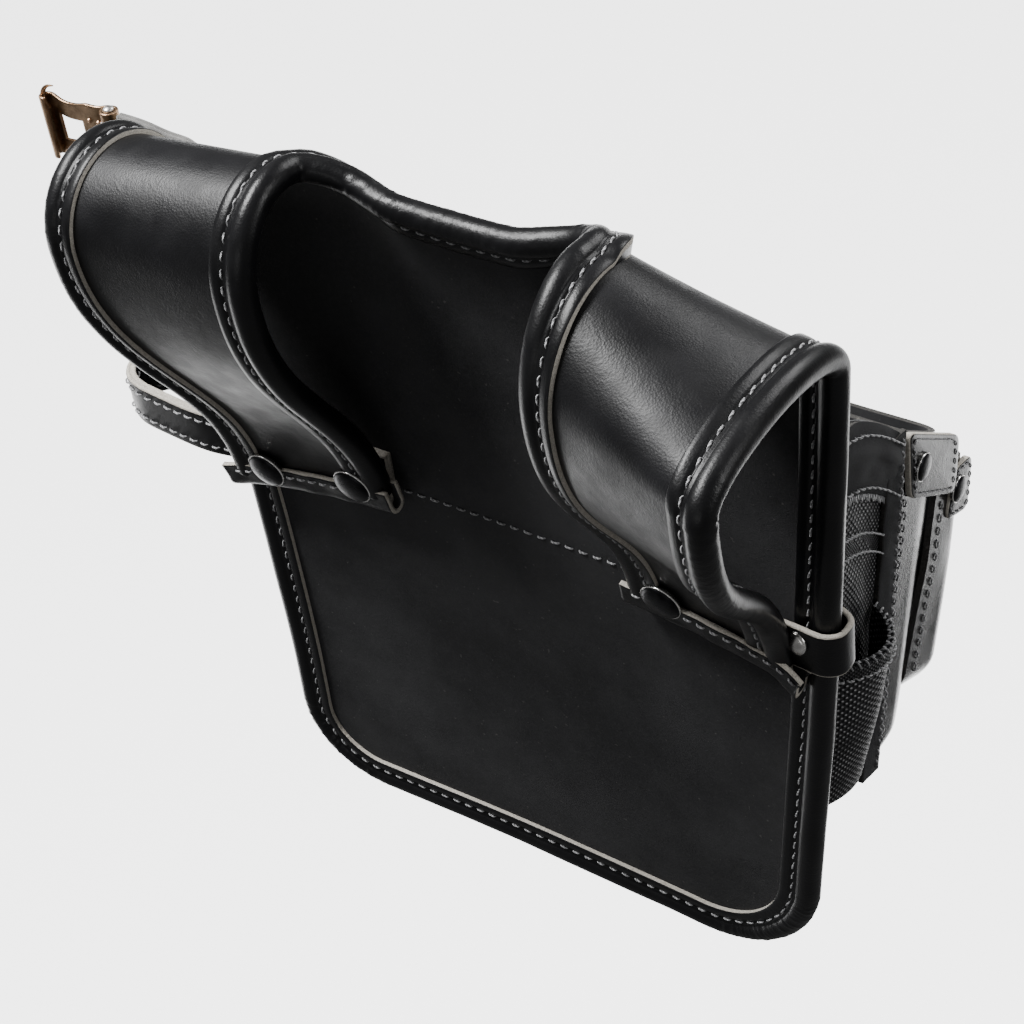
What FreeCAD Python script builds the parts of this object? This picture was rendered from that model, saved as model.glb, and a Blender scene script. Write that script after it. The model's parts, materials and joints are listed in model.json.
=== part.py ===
import FreeCAD, Part
import math
import os

import Sketcher

V = FreeCAD.Vector

# Electrician's tool pouch, millimetres. X runs along the belt, +Y points away from the
# wearer and +Z up. The origin is the middle of the belt tunnel, between the two loops.
# The back panel hangs in an XZ plane. Its two horns curl over towards the wearer (-Y)
# as belt loops, and the pockets stand out from its other face (+Y).

DRIVING = [
    # panel and hide
    ("panel_face", 24.0, "Y of the panel's wearer-side face"),
    ("hide", 3.5, "thickness of the panel and loop leather"),
    ("roll", 8.4, "width and thickness of the rolled edge binding"),
    ("panel_bottom", -217.0, "Z of the panel's lower edge"),
    ("panel_waist", -66.0, "Z where the side edges are measured"),
    ("fold_height", 35.0, "Z where the horns start to curl"),
    ("half_bottom", 105.0, "half width at the lower edge"),
    ("half_waist", 113.0, "half width at the waist"),
    ("corner_radius", 32.0, "radius of the panel's lower corners"),
    ("yoke_radius", 98.0, "bend of the panel between the loops"),
    ("dip_height", 53.5, "Z of the lowest point of the dipped top edge"),
    ("dip_rise", 8.5, "rise of the dipped edge at its ends"),
    ("lining", 2.5, "thickness of the inner back panel"),
    ("lining_top", -58.0, "Z of the inner back panel's top edge"),
    ("lining_bottom", -188.0, "Z of the inner back panel's lower edge"),
    ("lining_half", 95.0, "half width of the inner back panel"),
    # left loop
    ("left_depth_outer", 43.0, "depth of the left loop at its outer edge"),
    ("left_depth_inner", 46.0, "depth of the left loop at its inner edge"),
    ("left_rise_outer", 30.0, "rise of the left loop above the fold, outer edge"),
    ("left_rise_inner", 31.7, "rise of the left loop above the fold, inner edge"),
    ("left_out_top", 126.0, "distance of the outer edge from the middle, at the top"),
    ("left_in_top", 47.0, "distance of the inner edge from the middle, at the top"),
    ("left_out_low", 106.7, "distance of the outer edge from the middle, lower end"),
    ("left_in_low", 43.3, "distance of the inner edge from the middle, lower end"),
    ("left_end_outer", -70.0, "Z of the lower end, outer corner"),
    ("left_end_inner", -61.0, "Z of the lower end, inner corner"),
    ("left_standoff", 8.0, "gap from the panel face to the loop's middle, lower end"),
    # right loop
    ("right_depth_outer", 69.0, "depth of the right loop at its outer edge"),
    ("right_depth_inner", 49.3, "depth of the right loop at its inner edge"),
    ("right_rise_outer", 23.6, "rise of the right loop above the fold, outer edge"),
    ("right_rise_inner", 34.3, "rise of the right loop above the fold, inner edge"),
    ("right_out_top", 120.5, "distance of the outer edge from the middle, at the top"),
    ("right_in_top", 47.8, "distance of the inner edge from the middle, at the top"),
    ("right_out_low", 101.2, "distance of the outer edge from the middle, lower end"),
    ("right_in_low", 45.1, "distance of the inner edge from the middle, lower end"),
    ("right_end_outer", -72.5, "Z of the lower end, outer corner"),
    ("right_end_inner", -65.5, "Z of the lower end, inner corner"),
    ("right_standoff", 4.6, "gap from the panel face to the loop's middle, lower end"),
    ("end_strip", 8.0, "height of the folded strip on a loop's lower end"),
    # main pocket, seen from the side
    ("gusset_x", 100.0, "distance of the gusset's outer face from the middle"),
    ("gusset_wall", 1.5, "thickness of the nylon gusset"),
    ("leather", 2.5, "thickness of the pocket leather"),
    ("back_top_z", -3.0, "Z of the gusset's top at the panel"),
    ("mouth_y", 85.0, "Y of the main pocket's front lip"),
    ("mouth_z", -34.0, "Z of the main pocket's front lip"),
    ("toe_y", 66.0, "Y of the main pocket's lower front edge"),
    ("toe_z", -163.0, "Z of the main pocket's lower front edge"),
    ("heel_z", -146.0, "Z of the main pocket's lower back edge"),
    ("band_width", 24.0, "height of the gusset's leather top band"),
    ("seam_width", 9.0, "width of the front wall's seam flange on the gusset"),
    # middle pocket, seen from the side
    ("mid_half", 99.0, "half width of the middle pocket"),
    ("mid_lip_y", 125.0, "Y of the middle pocket's front lip"),
    ("mid_lip_z", -62.0, "Z of the middle pocket's front lip"),
    ("mid_toe_y", 86.0, "Y of the middle pocket's lower front edge"),
    ("mid_toe_z", -168.0, "Z of the middle pocket's lower front edge"),
    # front pocket, seen from the side
    ("front_half", 94.0, "half width of the front pocket"),
    ("front_lip_y", 138.0, "Y of the front pocket's front lip"),
    ("front_lip_z", -79.0, "Z of the front pocket's front lip"),
    ("front_toe_y", 114.0, "Y of the front pocket's lower front edge"),
    ("front_toe_z", -163.0, "Z of the front pocket's lower front edge"),
    ("front_heel_z", -150.0, "Z of the front pocket's lower back edge"),
    # side pocket on the right gusset
    ("side_pocket_bulge", 13.0, "how far the nylon side pocket stands out"),
    ("side_pocket_top", -86.0, "Z of the side pocket's mouth"),
    ("side_pocket_bottom", -148.0, "Z of the side pocket's floor"),
    ("side_pocket_back", 31.5, "Y of the side pocket's back seam"),
    ("side_pocket_front", 57.5, "Y of the side pocket's front seam"),
    ("side_pocket_wall", 1.2, "thickness of the side pocket's nylon"),
    # rivets
    ("cap_radius", 7.0, "radius of a loop rivet's cap"),
    ("cap_height", 2.2, "height of a loop rivet's cap"),
    ("post_radius", 1.6, "radius of a rivet's post"),
    ("burr_radius", 4.5, "radius of a rivet's washer"),
    ("burr_height", 1.2, "thickness of a rivet's washer"),
    ("tab_cap_radius", 4.7, "radius of a tab rivet's cap"),
    ("tab_thick", 2.4, "thickness of a reinforcement tab"),
    ("small_post", 1.3, "radius of a small rivet's post"),
    ("strap_cap_radius", 3.8, "radius of a strap rivet's cap"),
    ("wrap_cap_radius", 3.6, "radius of the edge wrap's rivet cap"),
    ("small_cap_height", 1.4, "height of a small rivet's cap"),
    # hammer ring, edge wrap
    ("ring_thick", 3.4, "thickness of the hammer ring, two layers of leather"),
    ("ring_top", -50.0, "Z of the hammer ring's upper edge"),
    ("ring_bottom", -70.0, "Z of the hammer ring's lower edge"),
    ("wrap_top", -55.0, "Z of the edge wrap's upper edge"),
    ("wrap_bottom", -71.0, "Z of the edge wrap's lower edge"),
    ("wrap_thick", 2.2, "thickness of the edge wrap"),
    # hanger strap and hook
    ("strap_thick", 3.0, "thickness of the hanger strap"),
    ("strap_top", 46.0, "Z of the hanger strap's upper edge"),
    ("strap_bottom", 24.0, "Z of the hanger strap's lower edge"),
    ("pin_x", -149.0, "X of the hook's pin"),
    ("pin_y", 32.0, "Y of the hook's pin"),
    ("pin_radius", 1.5, "radius of the hook's pin"),
    ("pin_gap", 0.06, "radial clearance of the hook on its pin"),
    ("eye_radius", 3.4, "outer radius of the strap's eye and the hook's knuckles"),
    ("knuckle", 5.6, "height of each knuckle of the hook"),
    ("hook_sheet", 1.6, "thickness of the hook's sheet metal"),
    ("hook_reach", 27.0, "length of the hook from its pin to its outer bar"),
    ("hook_bar", 2.2, "radius of the hook's curled outer bar"),
]

doc = FreeCAD.newDocument("tool_pouch")
sheet = doc.addObject("Spreadsheet::Sheet", "Dims")
for row, (alias, value, meaning) in enumerate(DRIVING, start=1):
    sheet.set("A%d" % row, meaning)
    sheet.set("B%d" % row, str(value))
    sheet.setAlias("B%d" % row, alias)
doc.recompute()


def dim(alias):
    """A driving dimension, read from the sheet."""
    return float(sheet.get(alias))


PANEL_FACE = dim("panel_face")
HIDE = dim("hide")
ROLL = dim("roll")
PANEL_MIDDLE = PANEL_FACE + HIDE / 2
PANEL_FRONT = PANEL_FACE + HIDE
FOLD = dim("fold_height")
FAR = 200.0  # beyond every part of the pouch, for cutting boxes
TOUCH = 0.01  # how near counts as the same place

nodes = []


def keep(obj, label):
    """Marks an object as a sub-part and names its file."""
    obj.Label = label
    nodes.append(obj)
    return obj


def feature(label, shape):
    """A sub-part whose shape is worked out from the sheet's values."""
    obj = doc.addObject("Part::Feature", label)
    obj.Shape = shape
    obj.Placement = FreeCAD.Placement()
    return keep(obj, label)


def apart(shape, *others):
    """The shape less whatever its neighbours fill."""
    for other in others:
        if shape.BoundBox.intersect(other.BoundBox):
            shape = shape.cut(other)
    return shape


def trimmed(shape, *others):
    """The shape less its neighbours, without the slivers that the cuts leave."""
    return max(apart(shape, *others).Solids, key=lambda solid: solid.Volume)


# ---------------------------------------------------------------- curves and bands

def spline(points):
    """An edge through the points."""
    curve = Part.BSplineCurve()
    curve.interpolate([V(*p) for p in points])
    return curve.toShape()


def bezier(points):
    """A Bezier edge with these poles."""
    curve = Part.BezierCurve()
    curve.setPoles([V(*p) for p in points])
    return curve.toShape()


def band_sides(points, half):
    """Two lines of 2-D points, each this far from the middle line."""
    sides = ([], [])
    last = len(points) - 1
    for i, (a, b) in enumerate(points):
        before = points[max(i - 1, 0)]
        after = points[min(i + 1, last)]
        da = after[0] - before[0]
        db = after[1] - before[1]
        length = math.hypot(da, db)
        sides[0].append((a - db / length * half, b + da / length * half))
        sides[1].append((a + db / length * half, b - da / length * half))
    return sides


def band_wire(points, half, place):
    """A closed wire round a bent band; place puts a 2-D point into space."""
    near, far = band_sides(points, half)
    near = [place(p) for p in near]
    far = [place(p) for p in far]
    caps = [Part.makeLine(V(*near[-1]), V(*far[-1])), Part.makeLine(V(*far[0]), V(*near[0]))]
    return Part.Wire([spline(near), caps[0], spline(list(reversed(far))), caps[1]])


# ---------------------------------------------------------------- panel outlines

def panel_blank(inset, near_y, far_y):
    """The panel's flat blank, drawn in by inset, between two Y planes."""
    bottom = dim("panel_bottom") + inset
    waist = dim("panel_waist")
    low = dim("half_bottom") - inset
    middle = dim("half_waist") - inset
    left_top = V(-dim("left_out_top") + inset, near_y, FOLD)
    right_top = V(dim("right_out_top") - inset, near_y, FOLD)
    left_low = V(-low, near_y, bottom)
    right_low = V(low, near_y, bottom)
    edges = [
        Part.makeLine(left_low, right_low),
        Part.Arc(right_low, V(middle, near_y, waist), right_top).toShape(),
        Part.makeLine(right_top, left_top),
        Part.Arc(left_top, V(-middle, near_y, waist), left_low).toShape(),
    ]
    blank = Part.Face(Part.Wire(edges)).extrude(V(0, far_y - near_y, 0))
    corners = [e for e in blank.Edges
               if abs(e.CenterOfMass.z - bottom) < TOUCH
               and abs(abs(e.CenterOfMass.x) - low) < TOUCH]
    return blank.makeFillet(dim("corner_radius") - inset, corners)


def yoke_middle(height):
    """Y of the panel's middle surface between the loops, bent towards the wearer."""
    bend = dim("yoke_radius")
    return PANEL_MIDDLE - bend + math.sqrt(bend * bend - height * height)


def yoke_band(half, half_width):
    """The bent band of leather between the loops."""
    top = dim("dip_height") + dim("dip_rise")
    steps = 8
    line = [(yoke_middle(top * i / steps), top * i / steps) for i in range(steps + 1)]
    wire = band_wire(line, half, lambda p: (-half_width, p[0], p[1]))
    return Part.Face(wire).extrude(V(2 * half_width, 0, 0))


def dip_prism(inset, half_width):
    """Everything below the dipped top edge, drawn in by inset."""
    low = dim("dip_height") - inset
    high = low + dim("dip_rise")
    start = -30.0
    reach = 60.0
    arc = Part.Arc(V(-half_width, -reach, high), V(0, -reach, low), V(half_width, -reach, high))
    left = V(-half_width, -reach, start)
    right = V(half_width, -reach, start)
    edges = [
        arc.toShape(),
        Part.makeLine(V(half_width, -reach, high), right),
        Part.makeLine(right, left),
        Part.makeLine(left, V(-half_width, -reach, high)),
    ]
    return Part.Face(Part.Wire(edges)).extrude(V(0, 2 * reach, 0))


# ---------------------------------------------------------------- belt loops

def loop_line(side, edge):
    """The loop's middle line in the YZ plane, from the fold over to its lower end."""
    depth = dim("%s_depth_%s" % (side, edge))
    rise = dim("%s_rise_%s" % (side, edge))
    end_z = dim("%s_end_%s" % (side, edge))
    end_y = PANEL_FACE - dim("%s_standoff" % side)
    front = PANEL_MIDDLE - depth
    drop = FOLD - end_z
    over = []
    steps = 10
    for i in range(steps + 1):
        turn = math.pi * i / steps
        over.append((PANEL_MIDDLE - depth / 2 * (1 - math.cos(turn)), FOLD + rise * math.sin(turn)))
    poles = [(front, FOLD), (front, FOLD - 0.45 * drop), (end_y - 6.0, end_z + 0.45 * drop), (end_y, end_z)]
    down = []
    for i in range(1, steps + 1):
        k = i / steps
        weights = ((1 - k) ** 3, 3 * k * (1 - k) ** 2, 3 * k * k * (1 - k), k ** 3)
        down.append(tuple(sum(w * p[axis] for w, p in zip(weights, poles)) for axis in (0, 1)))
    return over + down


def loop_solid(side, half):
    """The whole curled loop as a band of this half thickness, square-sided."""
    sign = -1 if side == "left" else 1
    spare = 4.0
    ends = {"inner": sign * (dim(side + "_in_low") - spare), "outer": sign * (dim(side + "_out_top") + spare)}

    def wire(edge):
        x = ends[edge]
        return band_wire(loop_line(side, edge), half, lambda p: (x, p[0], p[1]))

    return Part.makeLoft([wire("inner"), wire("outer")], True, True)


def horn_prism(side, inner_inset, outer_inset):
    """The loop's outline seen from the wearer, as a prism along Y."""
    sign = -1 if side == "left" else 1
    top = 120.0
    reach = 90.0

    def edge_poles(x_top, x_low, end):
        drop = FOLD - end
        return [(x_top, FOLD), (x_top, FOLD - 0.4 * drop), (x_low, end + 0.4 * drop), (x_low, end)]

    inner = edge_poles(dim(side + "_in_top") + inner_inset, dim(side + "_in_low") + inner_inset,
                       dim(side + "_end_inner"))
    outer = edge_poles(dim(side + "_out_top") - outer_inset, dim(side + "_out_low") - outer_inset,
                       dim(side + "_end_outer"))

    def at(p):
        return (sign * p[0], -reach, p[1])

    inner_top = (inner[0][0], top)
    outer_top = (outer[0][0], top)
    edges = [
        Part.makeLine(V(*at(inner_top)), V(*at(inner[0]))),
        bezier([at(p) for p in inner]),
        Part.makeLine(V(*at(inner[-1])), V(*at(outer[-1]))),
        bezier([at(p) for p in reversed(outer)]),
        Part.makeLine(V(*at(outer[0])), V(*at(outer_top))),
        Part.makeLine(V(*at(outer_top)), V(*at(inner_top))),
    ]
    return Part.Face(Part.Wire(edges)).extrude(V(0, 2 * reach, 0))


def loop_edges(side):
    """The binding along the loop's outer edge, and along its inner edge from the ridge down."""
    thick = loop_solid(side, ROLL / 2)
    whole = horn_prism(side, 0, 0)
    outer = thick.common(whole.cut(horn_prism(side, 0, ROLL)))
    inner = thick.common(whole.cut(horn_prism(side, ROLL, 0)))
    ridge = PANEL_MIDDLE - dim(side + "_depth_inner") / 2
    front_half = Part.makeBox(2 * FAR, FAR, 2 * FAR, V(-FAR, ridge - FAR, -FAR))
    return outer, inner.common(front_half)


def end_strip(side):
    """The folded strip along a loop's lower end."""
    sign = -1 if side == "left" else 1
    inner = V(sign * dim(side + "_in_low"), 0, dim(side + "_end_inner"))
    outer = V(sign * dim(side + "_out_low"), 0, dim(side + "_end_outer"))
    along = outer - inner
    length = along.Length
    middle = PANEL_FACE - dim(side + "_standoff")
    height = dim("end_strip")
    bar = Part.makeBox(length, ROLL, height, V(0, middle - ROLL / 2, -height))
    long_edges = [e for e in bar.Edges
                  if e.BoundBox.XLength > length - 1 and abs(e.CenterOfMass.z + height) < TOUCH]
    bar = bar.makeFillet(ROLL / 3, long_edges)
    slope = math.degrees(math.atan2(along.z, abs(along.x)))
    bar.rotate(V(0, 0, 0), V(0, 1, 0), -slope)
    bar.translate(V(inner.x if sign > 0 else -inner.x, 0, inner.z))
    if sign < 0:
        bar = bar.mirror(V(0, 0, 0), V(1, 0, 0))
    return bar


# ---------------------------------------------------------------- rivets

LOOP_RIVETS = [("left", -91.0, -62.0), ("left", -55.0, -56.5), ("right", 59.0, -61.0)]


def sheet_outside(side, z):
    """Y of the loop's outer face near its lower end, at this height."""
    line = loop_line(side, "inner")
    lower = [p for p in line if p[1] < FOLD]
    for (y_a, z_a), (y_b, z_b) in zip(lower, lower[1:]):
        if z_a >= z >= z_b:
            return y_a + (y_b - y_a) * (z_a - z) / (z_a - z_b) - HIDE / 2
    return PANEL_FACE - dim(side + "_standoff") - HIDE / 2


def rivet_seat(side, z):
    """Y of the flat under a loop rivet's cap, pressed a little into the leather."""
    press = 1.2
    return sheet_outside(side, z) + press


def dome(radius, height, x, y, z):
    """A cap on a plane Y = y, domed towards -Y."""
    bulge = (radius * radius + height * height) / (2 * height)
    ball = Part.makeSphere(bulge, V(x, y - height + bulge, z), V(0, 0, 1), -90, 90, 360)
    return ball.common(Part.makeCylinder(radius, height, V(x, y, z), V(0, -1, 0)))


def loop_rivet(side, x, z):
    """Cap and post of one loop rivet, in one piece."""
    seat = rivet_seat(side, z)
    post_end = PANEL_FRONT + dim("burr_height")
    post = Part.makeCylinder(dim("post_radius"), post_end - seat, V(x, seat, z), V(0, 1, 0))
    return dome(dim("cap_radius"), dim("cap_height"), x, seat, z).fuse(post).removeSplitter()


def loop_burr(x, z):
    """The washer of one loop rivet, on the panel's front face."""
    disc = Part.makeCylinder(dim("burr_radius"), dim("burr_height"), V(x, PANEL_FRONT, z), V(0, 1, 0))
    return disc.cut(Part.makeCylinder(dim("post_radius"), FAR, V(x, 0, z), V(0, 1, 0)))


def rivet_room(side, x, z):
    """The space that a loop rivet takes out of the leather it passes through."""
    seat = rivet_seat(side, z)
    hole = Part.makeCylinder(dim("post_radius"), FAR, V(x, seat, z), V(0, 1, 0))
    seat_room = Part.makeCylinder(dim("cap_radius"), FAR, V(x, seat, z), V(0, -1, 0))
    return hole.fuse(seat_room)


rivet_rooms = [rivet_room(*rivet) for rivet in LOOP_RIVETS]


# ---------------------------------------------------------------- hammer ring and edge wrap

def plan_band(points, thick, low, high):
    """A strap bent in plan, standing between two heights."""
    wire = band_wire(points, thick / 2, lambda p: (p[0], p[1], low))
    return Part.Face(wire).extrude(V(0, 0, high - low))


def hammer_ring():
    """One thick strap: it lies under the left loop's end, bows out past the panel's edge
    as a ring, and comes back onto the left gusset."""
    half = dim("ring_thick") / 2
    on_panel = PANEL_FACE - half
    on_gusset = -dim("gusset_x") - half
    line = [
        (-48.0, on_panel), (-70.0, on_panel), (-93.0, on_panel), (-104.0, 18.6), (-118.0, 15.6),
        (-142.0, 13.6), (-154.5, 17.0), (-159.5, 25.0), (-154.5, 33.0), (-142.0, 36.4),
        (-121.0, 36.6), (-109.0, 38.6), (on_gusset - 0.6, 46.0), (on_gusset, 54.0), (on_gusset, 60.0),
    ]
    return plan_band(line, dim("ring_thick"), dim("ring_bottom"), dim("ring_top"))


def edge_wrap():
    """A small strap round the panel's right edge, from the wearer's side to the right gusset."""
    thick = dim("wrap_thick")
    half = thick / 2
    near = PANEL_MIDDLE - ROLL / 2 - half - 0.1
    far = PANEL_MIDDLE + ROLL / 2 + half + 0.4
    edge = dim("half_waist") + half + 0.5
    on_gusset = dim("gusset_x") + half
    line = [
        (98.0, near), (104.0, near), (edge - 3.0, near + 0.4), (edge, near + 4.0), (edge + 0.3, PANEL_MIDDLE),
        (edge, far - 4.0), (edge - 3.4, far - 0.2), (on_gusset + 3.4, far + 1.6), (on_gusset, far + 7.0),
        (on_gusset, far + 14.0),
    ]
    return plan_band(line, thick, dim("wrap_bottom"), dim("wrap_top"))


WRAP_RIVET = (102.9, -61.0)
WRAP_POST = dim("small_post")
WRAP_CAP = dim("wrap_cap_radius")
WRAP_SEAT = PANEL_MIDDLE - ROLL / 2 - dim("wrap_thick")


def wrap_rivet():
    """The edge wrap's rivet, through the panel."""
    x, z = WRAP_RIVET
    post = Part.makeCylinder(WRAP_POST, PANEL_FRONT - WRAP_SEAT, V(x, WRAP_SEAT, z), V(0, 1, 0))
    return dome(WRAP_CAP, dim("small_cap_height"), x, WRAP_SEAT, z).fuse(post).removeSplitter()


def wrap_rivet_room():
    """The space that the edge wrap's rivet takes."""
    x, z = WRAP_RIVET
    hole = Part.makeCylinder(WRAP_POST, FAR, V(x, WRAP_SEAT, z), V(0, 1, 0))
    above = Part.makeCylinder(WRAP_CAP, FAR, V(x, WRAP_SEAT, z), V(0, -1, 0))
    return hole.fuse(above)


# ---------------------------------------------------------------- pockets as bodies

def origin_plane(body, role):
    """One of a body's own origin planes."""
    for item in body.Origin.OriginFeatures:
        if item.Role == role:
            return item
    raise ValueError(role)


def number(expression):
    """The value of an expression in the sheet's aliases."""
    probe = sheet.evalExpression(expression)
    return float(getattr(probe, "Value", probe))


def side_sketch(body, name, corners, shift):
    """A closed polygon in the YZ plane; each corner is a pair of expressions."""
    sketch = body.newObject("Sketcher::SketchObject", name)
    sketch.AttachmentSupport = (origin_plane(body, "YZ_Plane"), "")
    sketch.MapMode = "FlatFace"
    sketch.setExpression("AttachmentOffset.Base.z", shift)
    places = [V(number(y), number(z), 0) for y, z in corners]
    count = len(places)
    for i in range(count):
        sketch.addGeometry(Part.LineSegment(places[i], places[(i + 1) % count]))
    for i in range(count):
        sketch.addConstraint(Sketcher.Constraint("Coincident", i, 2, (i + 1) % count, 1))
    for i, (y, z) in enumerate(corners):
        for kind, text, value in (("DistanceX", y, places[i].x), ("DistanceY", z, places[i].y)):
            ends = (-1, 1, i, 1) if value >= 0 else (i, 1, -1, 1)
            index = sketch.addConstraint(Sketcher.Constraint(kind, *ends, abs(value)))
            sketch.setExpression("Constraints[%d]" % index, text if value >= 0 else "-(%s)" % text)
    return sketch


def linked(expression):
    """The expression with each alias naming its cell in the sheet."""
    words = sorted({alias for alias, _, _ in DRIVING}, key=len, reverse=True)
    out = ""
    position = 0
    while position < len(expression):
        for word in words:
            if expression.startswith(word, position):
                out += "Dims." + word
                position += len(word)
                break
        else:
            out += expression[position]
            position += 1
    return out


def plate_body(label, corners, start, width):
    """A plate: a side-view polygon padded along +X from start by width."""
    body = doc.addObject("PartDesign::Body", label)
    pairs = [(linked(y), linked(z)) for y, z in corners]
    sketch = side_sketch(body, label + "_outline", pairs, linked(start))
    pad = body.newObject("PartDesign::Pad", label + "_pad")
    pad.Profile = sketch
    pad.setExpression("Length", linked(width))
    body.Tip = pad
    doc.recompute()
    return keep(body, label)


def tray_body(label, outer, inner, half, wall):
    """An open tray: an outer profile padded both ways, less an inner one."""
    body = doc.addObject("PartDesign::Body", label)
    outline = side_sketch(body, label + "_outline", [(linked(y), linked(z)) for y, z in outer], "0")
    pad = body.newObject("PartDesign::Pad", label + "_pad")
    pad.Profile = outline
    pad.Midplane = True
    pad.setExpression("Length", linked("2 * %s" % half))
    doc.recompute()
    solid = pad.Shape.Volume
    hollow = side_sketch(body, label + "_hollow", [(linked(y), linked(z)) for y, z in inner], "0")
    pocket = body.newObject("PartDesign::Pocket", label + "_pocket")
    pocket.Profile = hollow
    pocket.Midplane = True
    pocket.setExpression("Length", linked("2 * (%s - %s)" % (half, wall)))
    body.Tip = pocket
    doc.recompute()
    if pocket.Shape.Volume > 0.9 * solid:
        raise ValueError("%s isn't hollow" % label)
    return keep(body, label)


# Corner points of the side view, as pairs of expressions.
REAR = "panel_face + hide + lining"
MAIN_HEEL = (REAR, "heel_z")
MAIN_TOE = ("toe_y", "toe_z")
MAIN_LIP = ("mouth_y", "mouth_z")
MAIN_BACK = (REAR, "back_top_z")
BELOW_MOUTH = "(mouth_z - back_top_z) / (mouth_y - panel_face - hide - lining)"


def lip_shift(point, forward, up):
    """The point moved by expressions along Y and Z."""
    return ("%s + (%s)" % (point[0], forward), "%s + (%s)" % (point[1], up))


def build_main_pocket():
    for side, start in (("right", "gusset_x - gusset_wall"), ("left", "-gusset_x")):
        plate_body("gusset_" + side, [MAIN_HEEL, MAIN_TOE, MAIN_LIP, MAIN_BACK], start, "gusset_wall")
    seam = "seam_width"
    rear_low = lip_shift(MAIN_BACK, "0", "-band_width")
    front_low = lip_shift(MAIN_LIP, "-seam_width - 5", "-band_width + 1")
    front_top = lip_shift(MAIN_LIP, "-seam_width", "-(%s) * %s" % (BELOW_MOUTH, seam))
    for side, start in (("right", "gusset_x"), ("left", "-gusset_x - 2")):
        plate_body("gusset_band_" + side, [rear_low, front_low, front_top, MAIN_BACK], start, "2")
    plate_body("main_pocket_front",
               [MAIN_TOE, lip_shift(MAIN_TOE, "leather", "0"), lip_shift(MAIN_LIP, "leather", "0"), MAIN_LIP],
               "-gusset_x - 2", "2 * gusset_x + 4")
    for side, start in (("right", "gusset_x"), ("left", "-gusset_x - 2")):
        plate_body("seam_flange_" + side,
                   [MAIN_TOE, MAIN_LIP, front_top, lip_shift(MAIN_TOE, "-seam_width", "seam_width * 0.45")],
                   start, "2")
    plate_body("main_pocket_bottom",
               [MAIN_HEEL, lip_shift(MAIN_HEEL, "0", "-leather"), lip_shift(MAIN_TOE, "0", "-leather"),
                MAIN_TOE],
               "-gusset_x", "2 * gusset_x")


def build_trays():
    gap = "leather + 0.1"
    mid_outer = [lip_shift(MAIN_TOE, gap, "-5"), ("mid_toe_y - 4", "mid_toe_z"),
                 ("mid_toe_y + 3", "mid_toe_z + 6"),
                 ("mid_lip_y", "mid_lip_z"), lip_shift(MAIN_LIP, gap, "-2")]
    mid_inner = [lip_shift(MAIN_TOE, "leather - 3", "-5 + leather"), ("mid_toe_y - 6", "mid_toe_z + leather"),
                 ("mid_toe_y + 3 - leather", "mid_toe_z + 8"), ("mid_lip_y - leather", "mid_lip_z + 4"),
                 ("mid_lip_y - leather", "mid_lip_z + 60"), lip_shift(MAIN_LIP, "leather - 3", "6")]
    tray_body("middle_pocket", mid_outer, mid_inner, "mid_half", "leather")
    lean = "(mid_lip_y - mid_toe_y - 3) / (mid_lip_z - mid_toe_z - 6)"
    heel_y = "mid_lip_y + 0.1 + (front_heel_z - mid_lip_z) * %s" % lean
    top_z = "front_lip_z + 8"
    top_y = "mid_lip_y + 0.1 + (front_lip_z + 8 - mid_lip_z) * %s" % lean
    outer = [(heel_y, "front_heel_z"), ("front_toe_y - 4", "front_toe_z"),
             ("front_toe_y + 2", "front_toe_z + 6"),
             ("front_lip_y", "front_lip_z"), (top_y, top_z)]
    inner = [(heel_y + " - 4", "front_heel_z + leather"), ("front_toe_y - 5", "front_toe_z + leather"),
             ("front_toe_y + 2 - leather", "front_toe_z + 8"), ("front_lip_y - leather", "front_lip_z + 2"),
             ("front_lip_y - leather", "front_lip_z + 40"), (top_y + " - 4", "front_lip_z + 40")]
    tray_body("front_pocket", outer, inner, "front_half", "leather")


# ---------------------------------------------------------------- side pocket, tabs

def side_pocket():
    """The bowed nylon pocket on the right gusset, open at the top."""
    start = dim("gusset_x")
    bulge = dim("side_pocket_bulge")
    back = dim("side_pocket_back")
    front = dim("side_pocket_front")
    low = dim("side_pocket_bottom")
    wall = dim("side_pocket_wall")

    def bowed(grow, floor):
        arc = Part.Arc(V(start, back + grow, floor), V(start + bulge - grow, (back + front) / 2, floor),
                       V(start, front - grow, floor))
        closing = Part.makeLine(V(start, front - grow, floor), V(start, back + grow, floor))
        face = Part.Face(Part.Wire([arc.toShape(), closing]))
        return face.extrude(V(0, 0, dim("side_pocket_top") - floor))

    return bowed(0, low).cut(bowed(wall, low + wall))


def side_tab(corners, sign, start, thick):
    """A flat leather tab on a pocket's side, from its side-view corners."""
    x = sign * start
    points = [V(x, y, z) for y, z in corners]
    face = Part.Face(Part.makePolygon(points + points[:1]))
    return face.extrude(V(sign * thick, 0, 0))


MIDDLE_TAB = [(89.5, -37.0), (124.0, -62.5), (122.5, -84.0), (91.0, -63.0)]
MIDDLE_TAB_RIVET = (97.0, -55.0)
FRONT_TAB = [(120.9, -76.0), (137.0, -80.5), (134.5, -100.0), (114.9, -93.0)]
FRONT_TAB_RIVET = (122.3, -86.0)
TAB_THICK = dim("tab_thick")


def tab_rivet(place, sign, start):
    """A small domed rivet on a tab, facing out."""
    y, z = place
    cap = dome(dim("tab_cap_radius"), dim("small_cap_height"), 0, 0, 0)
    cap.rotate(V(0, 0, 0), V(0, 0, 1), 90 * sign)
    cap.translate(V(sign * start, y, z))
    return cap


# ---------------------------------------------------------------- hanger strap and hook

def upright(radius, low, high):
    """A cylinder on the hook's pin line, between two heights."""
    return Part.makeCylinder(radius, high - low, V(dim("pin_x"), dim("pin_y"), low))


def strap_span():
    """Heights of the strap's eye, between the hook's two knuckles."""
    gap = 0.3
    return dim("strap_bottom") + dim("knuckle") + gap, dim("strap_top") - dim("knuckle") - gap


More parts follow.
